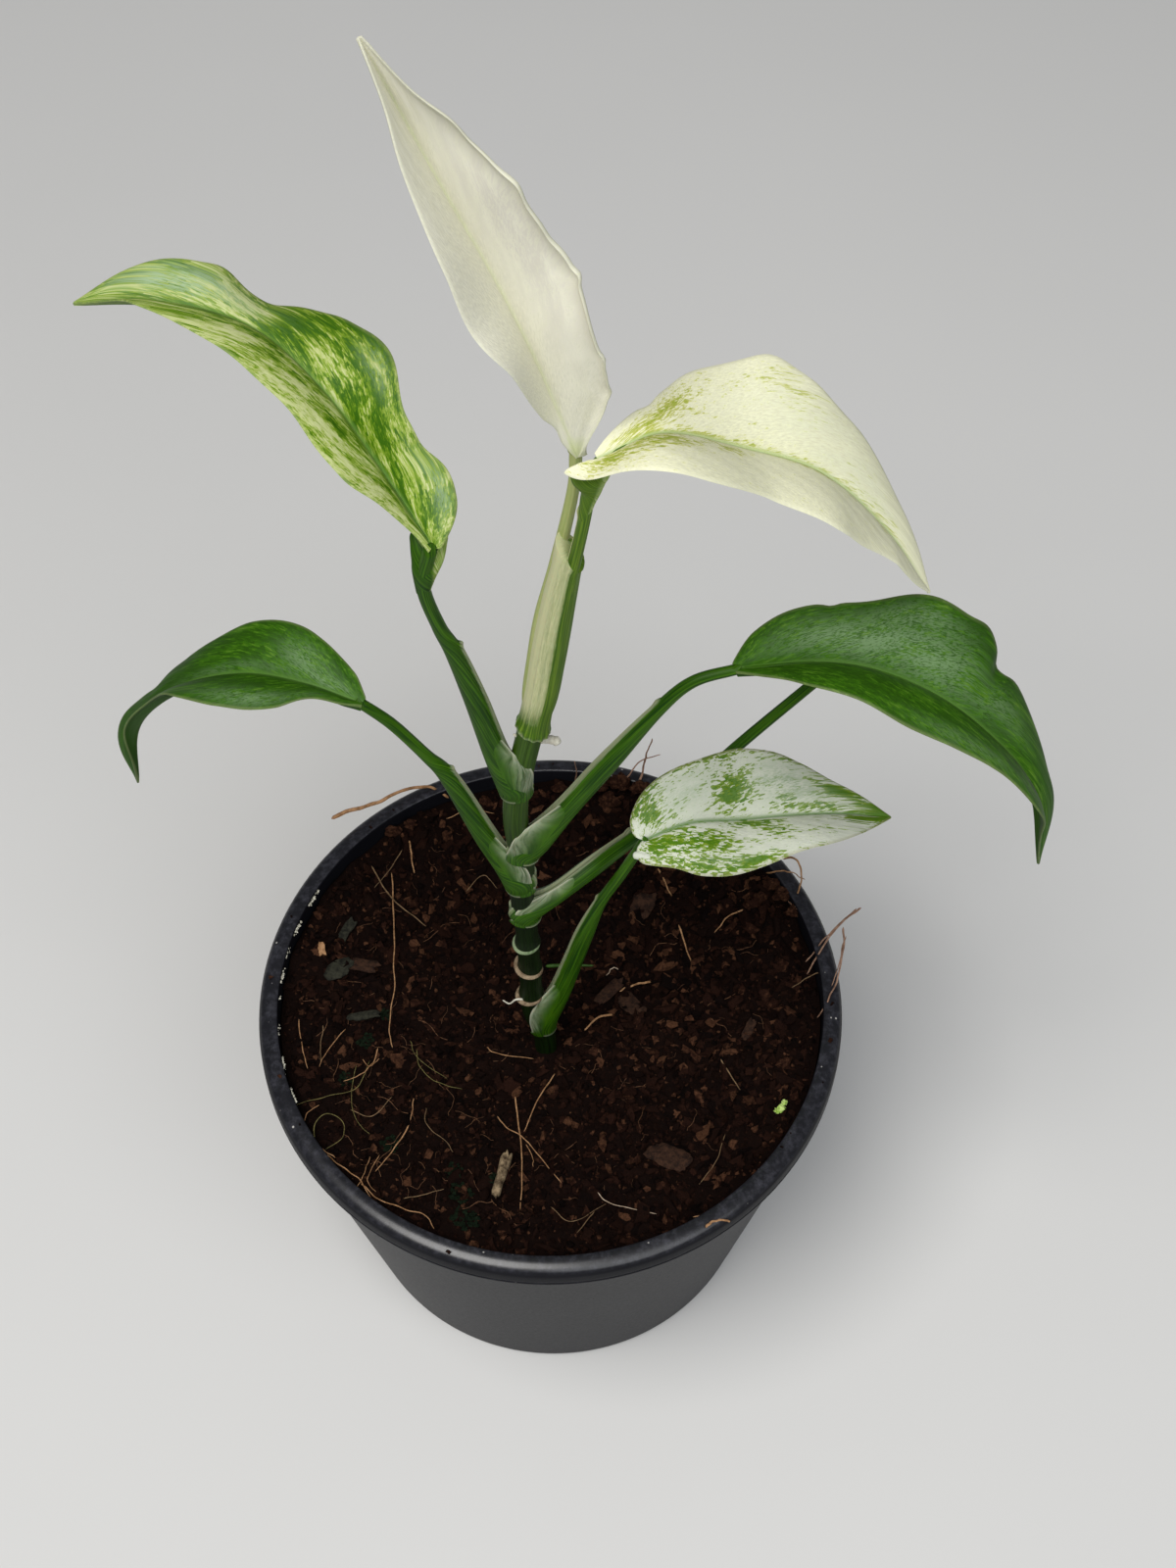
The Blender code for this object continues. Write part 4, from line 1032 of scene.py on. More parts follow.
def blade_shape(leaf, t, s):
    """Points of a blade's upper face, in rows along t and columns across s, and its widths."""
    centre = smooth(leaf["spine"], t)
    after, before = smooth(leaf["spine"], t + 0.002), smooth(leaf["spine"], t - 0.002)
    along = unit(after - before)
    side = unit(np.cross(along, np.array(leaf["face"], float)))
    up = np.cross(side, along)
    halves = []
    tables = (leaf["left"], leaf["right"])
    for hand, table, (lobe, full, slowness) in zip((-1, 1), tables, leaf["base"]):
        width, fold = smooth([*table, (0, table[-1][1])], t).T
        for edge, place, reach, change in leaf["margin"]:
            width = width + change * bell(t - place, reach) * (edge == hand)
        grown = np.clip(t / full, 0, 1)
        stem = min(0.9 * leaf["radii"][-1], table[0][0])
        width = stem + (width - stem) * (1 - (1 - grown) ** 2) ** slowness
        sweep = TIP_SWEEP * t - math.radians(lobe) * (1 - t) ** 6
        halves.append(np.stack([width, np.radians(fold), sweep]))
    left, right = (half[..., None] for half in halves)
    width, fold, sweep = np.where((s < 0)[None, None, :], left, right)
    t, size = t[:, None], np.abs(s)[None, :]
    hand = np.where(s < 0, -1.0, 1.0)[None, :]
    out = (side[:, None] * (hand * np.cos(fold))[..., None] + up[:, None] * np.sin(fold)[..., None])
    reach = width * size
    lift = 4 * ARCH * width * size * (1 - size)
    if "roll" in leaf:
        curl = np.minimum(leaf["roll"], 0.3 * width)
        bend = np.maximum(reach * ROLL_EXTRA - (width - curl), 0) * (s > 0)[None, :]
        turned = np.minimum(bend / np.maximum(curl, 1e-6), ROLL_TURN)
        reach = np.where(bend > 0, width - curl + curl * np.sin(turned), reach)
        lift = lift + curl * (1 - np.cos(turned))
    seed = 3 + len(leaf["spine"])
    waves = np.stack([ripple(t[:, 0] * WAVES, seed + half) for half in (0, 1)], -1)
    sway = WAVE_HEIGHT * size ** 3 * waves[:, (s > 0).astype(int)]
    for edge, place, start, depth in leaf.get("creases", ()):
        crease = bell(t - place, CREASE_REACH) * step(size, start, 1)
        sway = sway - depth * crease * (hand == edge)
    way = out * np.cos(sweep)[..., None] + along[:, None] * np.sin(sweep)[..., None]
    rise = (lift + sway * np.minimum(width / 6, 1))[..., None]
    return centre[:, None] + reach[..., None] * way + up[:, None] * rise, width


def patches(spots, t, s, ground=0.0):
    """How strong a leaf's patches are at each place, over an even ground."""
    total = np.full((len(t), len(s)), float(ground))
    for place, across, reach, breadth, strength in spots:
        total += strength * bell(t[:, None] - place, reach) * bell(s[None, :] - across, breadth)
    return total


def make_blade(name, leaf):
    """A blade with a grooved upper face, a ribbed lower face and a rounded margin."""
    rows = np.concatenate([np.linspace(0, BLADE_FOOT, BLADE_ROWS // 4, endpoint=False),
                           np.linspace(BLADE_FOOT, BLADE_END, BLADE_ROWS)])
    half = (np.arange(1, BLADE_HALF_COLUMNS + 1) / BLADE_HALF_COLUMNS) ** COLUMN_CROWDING
    s = np.concatenate([-half[::-1], [0.0], half])
    upper, width = blade_shape(leaf, rows, s)
    t = rows[:, None]
    across = np.gradient(upper, axis=1)
    down_the_leaf = np.gradient(upper, axis=0)
    normal = unit(np.cross(across, down_the_leaf))
    reach = width * np.abs(s)[None, :]
    rib = bell(reach, 0.75) * (1 - t) ** 0.3 * step(width, 0.8, 3.0)
    quilt = np.cos(2 * math.pi * (t - VEIN_RUN * np.abs(s)[None, :]) * VEINS)
    quilt = quilt * np.abs(s) * (1 - np.abs(s)) * 4
    relief = QUILT_DEPTH * quilt * step(width, 1, 5) - leaf.get("groove", GROOVE_DEPTH) * rib
    upper = upper + normal * relief[..., None]
    thick = (MARGIN_THICKNESS * (0.72 + 0.28 * (1 - np.abs(s)[None, :]))
             + (MIDRIB_THICKNESS - MARGIN_THICKNESS) * bell(reach, 1.0) * (1 - t) ** 0.7)
    lower = upper - normal * thick[..., None]
    margins = []
    for edge, beside in ((-1, -2), (0, 1)):
        outward = unit(upper[:, edge] - upper[:, beside])
        middle = (upper[:, edge] + lower[:, edge]) / 2
        margins.append((middle + MARGIN_BULGE * outward)[:, None])
    rings = np.concatenate([upper, margins[0], lower[:, ::-1], margins[1]], axis=1)
    length = travel(smooth(leaf["spine"], rows))[-1]
    marks = {
        "run": reach,
        "vein": (t - VEIN_RUN * np.abs(s)[None, :] ** 0.9) * length,
        "hand": np.broadcast_to(np.where(s < 0, *PATTERN_PLACES), reach.shape),
        "green": patches(leaf["green"], rows, s, leaf["ground"]),
        "milk": patches(leaf["milk"], rows, s),
        "rib": bell(reach, 0.3) * step(t, 1.0, 0.85),
        "edge": step(width - reach, 0.36, 0.1) * 0.6,
    }
    around = {key: np.concatenate([value, value[:, -1:], value[:, ::-1], value[:, :1]], axis=1)
              for key, value in marks.items()}
    count = len(s)
    around["under"] = np.zeros(rings.shape[:2])
    around["under"][:, count + 1:-1] = 1
    around["under"][:, [count, -1]] = 0.5
    skin = Skin()
    skin.loft(rings, around)
    if "hook" in leaf:
        strand(skin, leaf["hook"], 1.8, 1.5, sides=12, seed=3)
    finish = finish_for("leaf_" + leaf["paint"], leaf_paint, leaf["paint"])
    return skin.piece(name + "_blade", finish)


def stalk_side(leaf):
    """Where a stalk's upper side looks: towards the cane, and a little to the back."""
    foot, head = (np.array(leaf["petiole"][k], float) for k in (0, -1))
    away = head - foot
    inner = np.array((-away[0], -away[1] * 0.5, abs(away[0]) + abs(away[1])))
    inner = unit(inner - inner @ unit(away) * unit(away))
    back = np.cross(unit(away), inner)
    return math.cos(SHEATH_TURN) * inner + math.sin(SHEATH_TURN) * back * math.copysign(1, back[1])


def make_stalk(name, leaf):
    """A petiole whose lower part is the sheath: a channel between two thin raised edges."""
    share = np.linspace(0, 1, STALK_ROWS)
    route = smooth(leaf["petiole"], share)
    radii = smooth_numbers(leaf["radii"], share)
    end, foot_angle, end_angle = leaf["sheath"]
    spine = smooth(leaf["spine"], np.linspace(0.01, 0.16, RIB_ROWS))
    fading = np.linspace(radii[-1] * 0.96, 0.3, RIB_ROWS)
    face = unit(np.array(leaf["face"], float))
    route = np.vstack([route, spine - face * (fading[:, None] + RIB_GAP)])
    radii = np.concatenate([radii, fading])
    u = np.concatenate([share, np.ones(RIB_ROWS)])[:, None]
    angle = full_turn(STALK_SIDES)[None, :]
    bend = np.abs((angle + math.pi) % (2 * math.pi) - math.pi)
    half = np.radians(foot_angle + (end_angle - foot_angle) * np.clip(u / max(end, 0.01), 0, 1))
    ridge = bell(bend - half, 0.13) * (0.14 + 0.35 * bell(u - end + 0.008, 0.012))
    groove = 0.16 * step(bend, half * 0.9, half * 0.2)
    channel = 1 + step(u, 0.02, 0.16) * step(u, end + 0.012, end - 0.004) * (ridge - groove)
    rings = tube(route, radii, stalk_side(leaf), STALK_SIDES, channel)
    pale = bell(bend - half, 0.17) + 0.5 * step(bend, half, 0.6 * half)
    run = travel(route)[:, None] + 0 * bend
    marks = {"run": run, "turn": radii[:, None] * (bend + 4 * (angle > math.pi)),
             "pale": pale * step(u, end + 0.008, end - 0.008), "lip": bell(run, 0.5)}
    lip = route[0] + (rings[:1] - route[0]) * 0.9 - (0, 0, 0.25)
    skin = Skin()
    skin.loft(np.concatenate([lip, rings]),
              {key: np.concatenate([value[:1], value]) for key, value in marks.items()})
    if "funnel" in leaf:
        widen = np.linspace(0, 1, FUNNEL_ROWS)
        route = smooth([spot for spot, *_ in leaf["funnel"]], widen)
        size = smooth([half for _, *half in leaf["funnel"]], widen)
        rings = tube(route, np.ones(FUNNEL_ROWS), (1, 0, 0), STALK_SIDES) - route[:, None]
        rings = rings * (size[:, :1, None] * (1, 0, 0) + size[:, 1:, None] * (0, 1, 1))
        starts = np.interp(widen, np.linspace(0, 1, len(leaf["stripe"])), leaf["stripe"])[:, None]
        skin.loft(route[:, None] + rings,
                  {"run": route[:, 2:] + 0 * angle, "turn": size[:, :1] * angle,
                   "flesh": step(np.cos(angle) - starts, -0.15, 0.2)})
    return skin.piece(name + "_stalk", stalk_finish(leaf))


def make_collar(name, leaf):
    """The open base of a sheath, which leaves the stalk and clasps the cane with a domed edge."""
    edge, top = COLLARS[name]
    cane = smooth(CANE_ROUTE, np.linspace(0, 1, 160))
    route = smooth(leaf["petiole"], np.linspace(0, 0.7, 160))
    radii = smooth_numbers(leaf["radii"], np.linspace(0, 0.7, 160))
    risen = np.maximum.accumulate(route[:, 2])
    toward = stalk_side(leaf)
    level = np.array((math.copysign(1, leaf["petiole"][0][0] - leaf["petiole"][3][0]), 0, 0))
    w = np.linspace(0, 1, COLLAR_COLUMNS)[None, :]
    skin = Skin()
    for hand, share in COLLAR_SIDES:
        rise = np.linspace(0, 1, COLLAR_ROWS)[:, None] * top * share
        height = route[0, 2] + rise[:, 0]
        stalk = np.stack([np.interp(height, risen, route[:, k]) for k in range(3)], -1)
        girth = np.interp(height, risen, radii)[:, None]
        along = unit(np.gradient(stalk, axis=0))
        inner = unit(toward - (along @ toward)[:, None] * along)
        hub = np.stack([*(np.interp(height, cane[:, 2], cane[:, k]) for k in (0, 1)), height], -1)
        side = np.cross(along, inner)
        side = side * (np.sign(side[:, 1:2]) * hand)
        last = np.radians(np.interp(rise / share, [h for _, h in edge], [a for a, _ in edge]))
        turn = COLLAR_START + (last - COLLAR_START) * w ** 1.6
        move = step(w, 0, 0.65)[..., None]
        centre = stalk[:, None] * (1 - move) + hub[:, None] * move
        reach = (girth + COLLAR_GAP) * (1 - move[..., 0]) + COLLAR_REACH * move[..., 0]
        reach = reach + (girth[0] + COLLAR_GAP - reach) * step(rise, 3, 0)
        ahead = unit(inner[:, None] * (1 - move) + level * move)
        aside = unit(side[:, None] * (1 - move) + np.array((0, float(hand), 0)) * move)
        spokes = np.cos(turn)[..., None] * ahead + np.sin(turn)[..., None] * aside
        web = centre + reach[..., None] * spokes
        own = COLLAR_START + (math.radians(leaf["sheath"][1]) - COLLAR_START) * w
        fit = girth + 0.3 * step(w, 0, 0.35) * step(rise, share * top, 0.7 * share * top) - 0.14
        close = stalk[:, None] + fit[..., None] * (np.cos(own)[..., None] * inner[:, None]
                                                   + np.sin(own)[..., None] * side[:, None])
        free = step(rise, share * top, 0.42 * share * top)[..., None]
        blend = free * step(w, 0, 0.3)[..., None]
        outer = close * (1 - blend) + web * blend
        under = outer - COLLAR_SKIN * unit(outer - centre * blend - stalk[:, None] * (1 - blend))
        apart = np.linalg.norm(np.diff(outer, axis=1), axis=2)
        passed = np.concatenate([0 * apart[:, :1], np.cumsum(apart, axis=1)], axis=1)
        left = apart.sum(axis=1, keepdims=True) - passed
        marks = {"run": rise + 0 * w, "turn": 3 * turn,
                 "rim": bell(left, 0.32) * step(rise, 0.3, 2),
                 "clear": step(w, 0.2, 0.7) * step(rise, 1, 5) * step(rise, top, 0.7 * top)}
        marks = {key: np.concatenate([value, value[:, ::-1]], axis=1)[:, ::-hand]
                 for key, value in marks.items()}
        rings = np.concatenate([outer, under[:, ::-1]], axis=1)
        skin.loft(rings[:, ::-hand], marks)
    return skin.piece(name + "_collar", stalk_finish(leaf))


def make_sleeve():
    """The cream sheath of the sixth leaf, rolled around the stalk of the seventh."""
    angle = full_turn(SLEEVE_SIDES)[None, :]
    v = np.linspace(0, 1, SLEEVE_ROWS)
    route = smooth([spot for spot, *_ in SLEEVE], v)
    size = smooth([half for _, *half in SLEEVE], v)
    run = route[:, 2:] + 0 * angle
    foot = run[0, 0]
    lap = 0.2 * step(angle, 4.05, 4.1) * step(angle, 5.6, 4.6)
    swell = 1 + (0.05 * np.cos(angle * 13 + 1.3) + 0.16) * bell(run - foot, 1.6)
    swell = swell - 0.10 * bell(run - foot - 0.3, 0.5) + 0.006 * np.cos(angle * 17)
    rings = route[:, None] + np.stack([(size[:, :1] * swell + lap) * np.cos(angle),
                                       (size[:, 1:] * swell + lap) * np.sin(angle), 0 * run], -1)
    rings[..., 2] -= 1.2 * np.cos(angle) * bell(run - foot, 4)
    rings[..., 2] += 3.2 * np.cos(angle - 2.6) * step(v[:, None], 0.8, 1)
    lip = route[0] + (rings[:1] - route[0]) * SLEEVE_LIPS[0]
    top_lip = route[-1] + (rings[-1:] - route[-1]) * SLEEVE_LIPS[1]
    side = np.cos(angle) + 0 * run
    milky = step(side, 0.45, -0.1) * (0.75 + 0.3 * step(side, -0.3, -0.8))
    milky = milky - 0.45 * bell(side - 0.28, 0.12)
    marks = {"run": run, "turn": angle * 2.6 + 0 * run, "lip": bell(run - foot, 0.4) * 0.6,
             "pale": milky * step(run, foot + 1, foot + 12) + 0.12}
    marks = {key: np.concatenate([value[:1], value, value[-1:]]) for key, value in marks.items()}
    skin = Skin()
    skin.loft(np.concatenate([lip, rings, top_lip]), marks)
    return skin.piece("leaf_6_cream_sleeve", finish_for("stalk_cream", stalk_paint, "cream"))


def make_leaves():
    """All blades, stalks and collars, and the sleeve."""
    for name, leaf in LEAVES.items():
        dress(make_blade(name, leaf), leaf["slot"], name)
        dress(make_stalk(name, leaf), "cane_green", name)
        if name in COLLARS:
            dress(make_collar(name, leaf), "cane_green")
    dress(make_sleeve(), "cane_green")


def make_cane():
    """The cane with swollen nodes and its scars."""
    share = np.linspace(0, 1, CANE_ROWS)
    route = smooth(CANE_ROUTE, share)
    radii = np.full(len(route), float(CANE_RADIUS))
    for height, *_ in SCARS:
        for over, swelling, reach in NODE_SHAPE:
            radii += swelling * bell(route[:, 2] - height - over, reach)
    angle = full_turn(CANE_SIDES)[None, :]
    run = route[:, 2:3] + 0 * angle
    skin = Skin()
    skin.loft(tube(route, radii, (0, -1, 0), CANE_SIDES),
              {"run": run, "turn": CANE_RADIUS * (angle + 0 * run), "young": step(run, 150, 205)})
    dress(skin.piece("cane_stem", finish_for("cane", cane_paint)), "cane_green", "cane")
    for k, (height, reach, tilt, kind) in enumerate(SCARS):
        centre = route[np.argmin(np.abs(route[:, 2] - height))]
        lean = math.tan(math.radians(tilt))
        turn = full_turn(SCAR_STEPS)
        frill = reach * (1 + 0.45 * ripple(turn / 1.3, 5 + k)) * (0.75 + 0.45 * np.cos(turn - 3.6))
        frill = np.maximum(frill, 0.2)
        rings = []
        for depth, rise in SCAR_PROFILE:
            radius = CANE_RADIUS + frill * depth
            sag = rise - 0.35 * max(depth, 0) ** 2
            x = radius * np.cos(turn)
            rings.append(np.stack([x, radius * np.sin(turn), sag + x * lean], -1))
        band = np.stack(rings, 1) + centre
        near = np.arange(band[..., 0].size).reshape(band.shape[:2])
        after, far = np.roll(near, -1, axis=1), np.roll(near, -1, axis=0)
        faces = np.stack([near, after, np.roll(far, -1, axis=1), far], -1).reshape(-1, 4)
        skin = Skin()
        skin.add(band, faces.tolist())
        dress(skin.piece(f"cane_scar_{k + 1}", tissue(kind)), "cane_green")


def strand(skin, points, thick, thin, sides=7, waver=0.0, seed=1):
    """A root or fibre along a smooth route, in a collected skin."""
    share = np.linspace(0, 1, STRAND_ROWS * len(points))
    route = smooth(points, share)
    if waver:
        drift = [ripple(share * len(points) * 1.6, seed + k) for k in range(3)]
        route = route + waver * np.stack(drift, -1)
    radii = (thick + (thin - thick) * share) / 2
    radii = radii * (1 + 0.18 * ripple(share * len(points) * 3, seed + 9))
    length = travel(route)[-1]
    for ahead in (share, 1 - share):
        radii = radii * np.sqrt(1 - (1 - np.clip(ahead * length / radii, 0.03, 1)) ** 2)
    skin.loft(tube(route, radii, STRAND_SIDE, sides))


def soil_height(x, y):
    """The soil's top without its crumbs: the same bumps and heaps as its solid."""
    place = Vector((x / 9, y / 9, SOIL_SEED))
    bumps = noise.noise(place) + 0.6 * noise.noise(2.3 * place)
    heaps = sum(math.exp(-((x - a) ** 2 + (y - b) ** 2) / reach ** 2) for a, b, reach in HEAPS)
    return SOIL_LEVEL + SOIL_RELIEF * bumps + HEAP_HEIGHT * heaps


def crumbly_height(x, y):
    """The soil's top with its crumbs."""
    place = Vector((x, y, SOIL_SEED))
    return soil_height(x, y) + (0.5 * noise.noise(place * 0.55) + 0.3 * noise.noise(place * 1.3))


def on_soil(x, y, lift):
    return (x, y, soil_height(x, y) + lift)


def make_pot():
    """The pot's shell with a softly rounded rim, a thin bead under it and drain holes."""
    soft = settings().pot.rim_rounding / MM
    corners = [(0.01, FLOOR_THICKNESS, 0), (INNER_BASE, FLOOR_THICKNESS, 1.5),
               (INNER_RADIUS, UNDER_RIM, 0.8), (INNER_RADIUS, POT_HEIGHT - 0.05, 0.6),
               (INNER_RADIUS + 1.6, POT_HEIGHT, 0.7),
               (RIM_RADIUS - 0.15, POT_HEIGHT - 0.9, soft), (RIM_RADIUS, POT_HEIGHT - 4.6, 0.3),
               (RIM_RADIUS - 0.25, POT_HEIGHT - 5.0, 0.15), (RIM_RADIUS, POT_HEIGHT - 5.3, 0.15),
               (RIM_RADIUS - 0.1, UNDER_RIM, 0.2), (RIM_RADIUS - RIM_STEP, UNDER_RIM + 0.2, 0.5),
               (BASE_RADIUS + 0.9, 1.6, 0.7), (BASE_RADIUS - 0.8, 0, 0.8), (0.01, 0, 0)]
    skin = Skin()
    skin.loft(lathe(rounded(corners), POT_STEPS))
    pot = skin.piece("pot_shell", finish_for("pot", pot_paint))
    for k in range(DRAIN_HOLES):
        angle = 2 * math.pi * (k + 0.5) / DRAIN_HOLES
        drill = Skin()
        drill.loft(lathe([(DRAIN_RADIUS, -4), (DRAIN_RADIUS, 8)], DRAIN_STEPS)
                   + (DRAIN_CIRCLE * math.cos(angle), DRAIN_CIRCLE * math.sin(angle), 0))
        cutter = drill.piece("drill", PAINTS["pot"])
        hole = pot.modifiers.new("hole", "BOOLEAN")
        hole.operation = "DIFFERENCE"
        hole.object = cutter
        cut = settled(pot)
        pot.modifiers.clear()
        pot.data = cut
        bpy.data.objects.remove(cutter)
    pot.data.set_sharp_from_angle(angle=SHARP_EDGE)
    dress(pot, "pot_plastic", "pot")


def make_soil():
    """The filling: a crumbly top over a plain tapered body."""
    turn = full_turn(SOIL_STEPS)
    low = FLOOR_THICKNESS + SOIL_GAP
    slope = (INNER_RADIUS - INNER_BASE) / (UNDER_RIM - FLOOR_THICKNESS)
    foot = INNER_BASE + SOIL_GAP * slope - SOIL_GAP
    rings = [*lathe([(0.5, low), (foot, low), (SOIL_RADIUS, UNDER_RIM - SOIL_GAP)], SOIL_STEPS)]
    for radius in np.linspace(SOIL_RADIUS, 0.3, SOIL_RINGS):
        x, y = radius * np.cos(turn), radius * np.sin(turn)
        rings.append(np.stack([x, y, [crumbly_height(a, b) for a, b in zip(x, y)]], -1))
    skin = Skin()
    # Painted shade: the bed under the crumbs gets a low tint and a 0.8 brightness, which darkens
    # the gaps between the crumbs.
    skin.loft(np.array(rings), {"tint": np.full((len(rings), SOIL_STEPS), SHADED_SOIL_TINT)})
    finish = finish_for("soil_fine", soil_paint, "soil_fine", 0.8)
    dress(skin.piece("soil_bed", finish), "soil_mix", "soil")


def ground(name, inner, outer, mask, height=crumbly_height, steps=96, rows=24, first=0, last=360):
    """A sheet that litter is strewn over, with how dense the litter is at each point."""
    turn = np.radians(np.linspace(first, last, steps))
    a, r = np.meshgrid(turn, np.linspace(inner, outer, rows), indexing="ij")
    x, y = r * np.cos(a), r * np.sin(a)
    z = np.array([height(p, q) for p, q in zip(x.ravel(), y.ravel())]).reshape(x.shape)
    near = np.arange(steps * rows).reshape(steps, rows)
    faces = np.stack([near[1:, :-1], near[1:, 1:], near[:-1, 1:], near[:-1, :-1]], -1)
    mesh = bpy.data.meshes.new(name)
    mesh.from_pydata((np.stack([x, y, z], -1).reshape(-1, 3) * MM).tolist(), [],
                     faces.reshape(-1, 4).tolist())
    hold(mesh, "mask", mask(x, y))
    mesh.flip_normals()
    return put(name, mesh)


LITTER_INPUTS = {"Density": "NodeSocketFloat", "Spacing": "NodeSocketFloat",
                 "Seed": "NodeSocketInt", "Smallest": "NodeSocketFloat",
                 "Largest": "NodeSocketFloat", "Tilt": "NodeSocketFloat",
                 "Sink": "NodeSocketFloat", "Finish": "NodeSocketMaterial"}


def shaken(growth, geometry, offset, scale, reach):
    """A shape whose points are moved by noise."""
    spot = growth.vector("ADD", growth.node("GeometryNodeInputPosition"), offset)
    cloud = growth.node("ShaderNodeTexNoise", {"Vector": spot, "Scale": scale, "Detail": 1.0},
                        "Color")
    shift = growth.vector("MULTIPLY", growth.vector("SUBTRACT", cloud, (0.5, 0.5, 0.5)), reach)
    return growth.node("GeometryNodeSetPosition", {"Geometry": geometry, "Offset": shift})


def chip_shapes(growth, width, thickness, block):
    """Broken blocks or grains of unit length, with their width and thickness shares."""
    shapes = []
    for k in range(LITTER_VARIANTS):
        if block:
            raw = growth.node("GeometryNodeMeshCube", {"Size": (1, 1, 1), "Vertices X": 3,
                                                       "Vertices Y": 3, "Vertices Z": 2})
        else:
            raw = growth.node("GeometryNodeMeshIcoSphere", {"Radius": 0.5, "Subdivisions": 1})
        broken = shaken(growth, raw, (k * 7.1, k * 3.7, 0.0), 1.7, (1.5, 1.5, 1.5))
        share = 0.7 + 0.15 * k
        size = (1.0, width * share, thickness * (1.9 - share))
        sized = growth.node("GeometryNodeTransform", {"Geometry": broken, "Scale": size})
        shapes.append(growth.node("GeometryNodeSetShadeSmooth",
                                  {"Geometry": sized, "Shade Smooth": False}))
    return gather(growth, shapes)


def fibre_shapes(growth, thickness):
    """A few curled threads of unit length."""
    shapes = []
    for k in range(LITTER_VARIANTS):
        line = growth.node("GeometryNodeCurvePrimitiveLine",
                           {"Start": (-0.5, 0, 0), "End": (0.5, 0, 0)})
        points = growth.node("GeometryNodeResampleCurve", {"Curve": line, "Count": 9})
        bent = shaken(growth, points, (k * 5.3, k * 2.9, 1.0), 1.5, (0.3, 0.9, 0.4))
        ring = growth.node("GeometryNodeCurvePrimitiveCircle",
                           {"Resolution": 4, "Radius": thickness})
        shapes.append(growth.node("GeometryNodeCurveToMesh",
                                  {"Curve": bent, "Profile Curve": ring, "Fill Caps": True}))
    return gather(growth, shapes)


def gather(growth, shapes):
    """Several geometries as separate instances of one."""
    joined = growth.tree.nodes.new("GeometryNodeGeometryToInstance")
    for shape in reversed(shapes):
        growth.tree.links.new(shape.socket, joined.inputs[0])
    return Signal(growth, joined.outputs[0])


def litter_growth(name, make_shapes, *values):
    """Strews small shapes over a sheet, denser where its mask is high."""
    growth = Growth(name, LITTER_INPUTS)
    seed = growth.input("Seed")
    mask = growth.node("GeometryNodeInputNamedAttribute", {"Name": "mask"}, data_type="FLOAT")
    strewn = growth.node("GeometryNodeDistributePointsOnFaces",
                         {"Mesh": growth.input("Geometry"), "Seed": seed, "Density Factor": mask,
                          "Distance Min": growth.input("Spacing"),
                          "Density Max": growth.input("Density")}, distribute_method="POISSON")
    normal = Signal(growth, strewn.socket.node.outputs["Normal"])
    upright = Signal(growth, strewn.socket.node.outputs["Rotation"])
    smallest, largest = growth.input("Smallest"), growth.input("Largest")
    size = smallest + (largest - smallest) * growth.random(0.0, 1.0, seed + 1) ** 2.0
    sunk = growth.vector("SCALE", normal)
    depth = 0 - size * growth.input("Sink")
    growth.tree.links.new(depth.socket, sunk.socket.node.inputs["Scale"])
    placed = growth.node("GeometryNodeSetPosition", {"Geometry": strewn, "Offset": sunk})
    tilt = growth.input("Tilt")
    euler = growth.combine(growth.random(-1.0, 1.0, seed + 2) * tilt,
                           growth.random(-1.0, 1.0, seed + 3) * tilt,
                           growth.random(0.0, 2 * math.pi, seed + 4))
    turn = growth.node("FunctionNodeEulerToRotation", {"Euler": euler})
    turned = growth.node("FunctionNodeRotateRotation", {"Rotation": upright, "Rotate By": turn},
                         rotation_space="LOCAL")
    copies = growth.node("GeometryNodeInstanceOnPoints",
                         {"Points": placed, "Instance": make_shapes(growth, *values),
                          "Pick Instance": True, "Rotation": turned,
                          "Scale": growth.combine(size, size, size)})
    tint = growth.random(0.0, 1.0, seed + 5)
    tinted = growth.node("GeometryNodeStoreNamedAttribute",
                         {"Geometry": copies, "Name": "tint", "Value": tint},
                         data_type="FLOAT", domain="INSTANCE")
    return growth.finish(tinted, growth.input("Finish"))


def away_from_stem(x, y):
    """Keeps the litter off the cane's foot."""
    stem = CANE_ROUTE[0]
    return step(np.hypot(x - stem[0], y - stem[1]), *STEM_CLEARANCE)


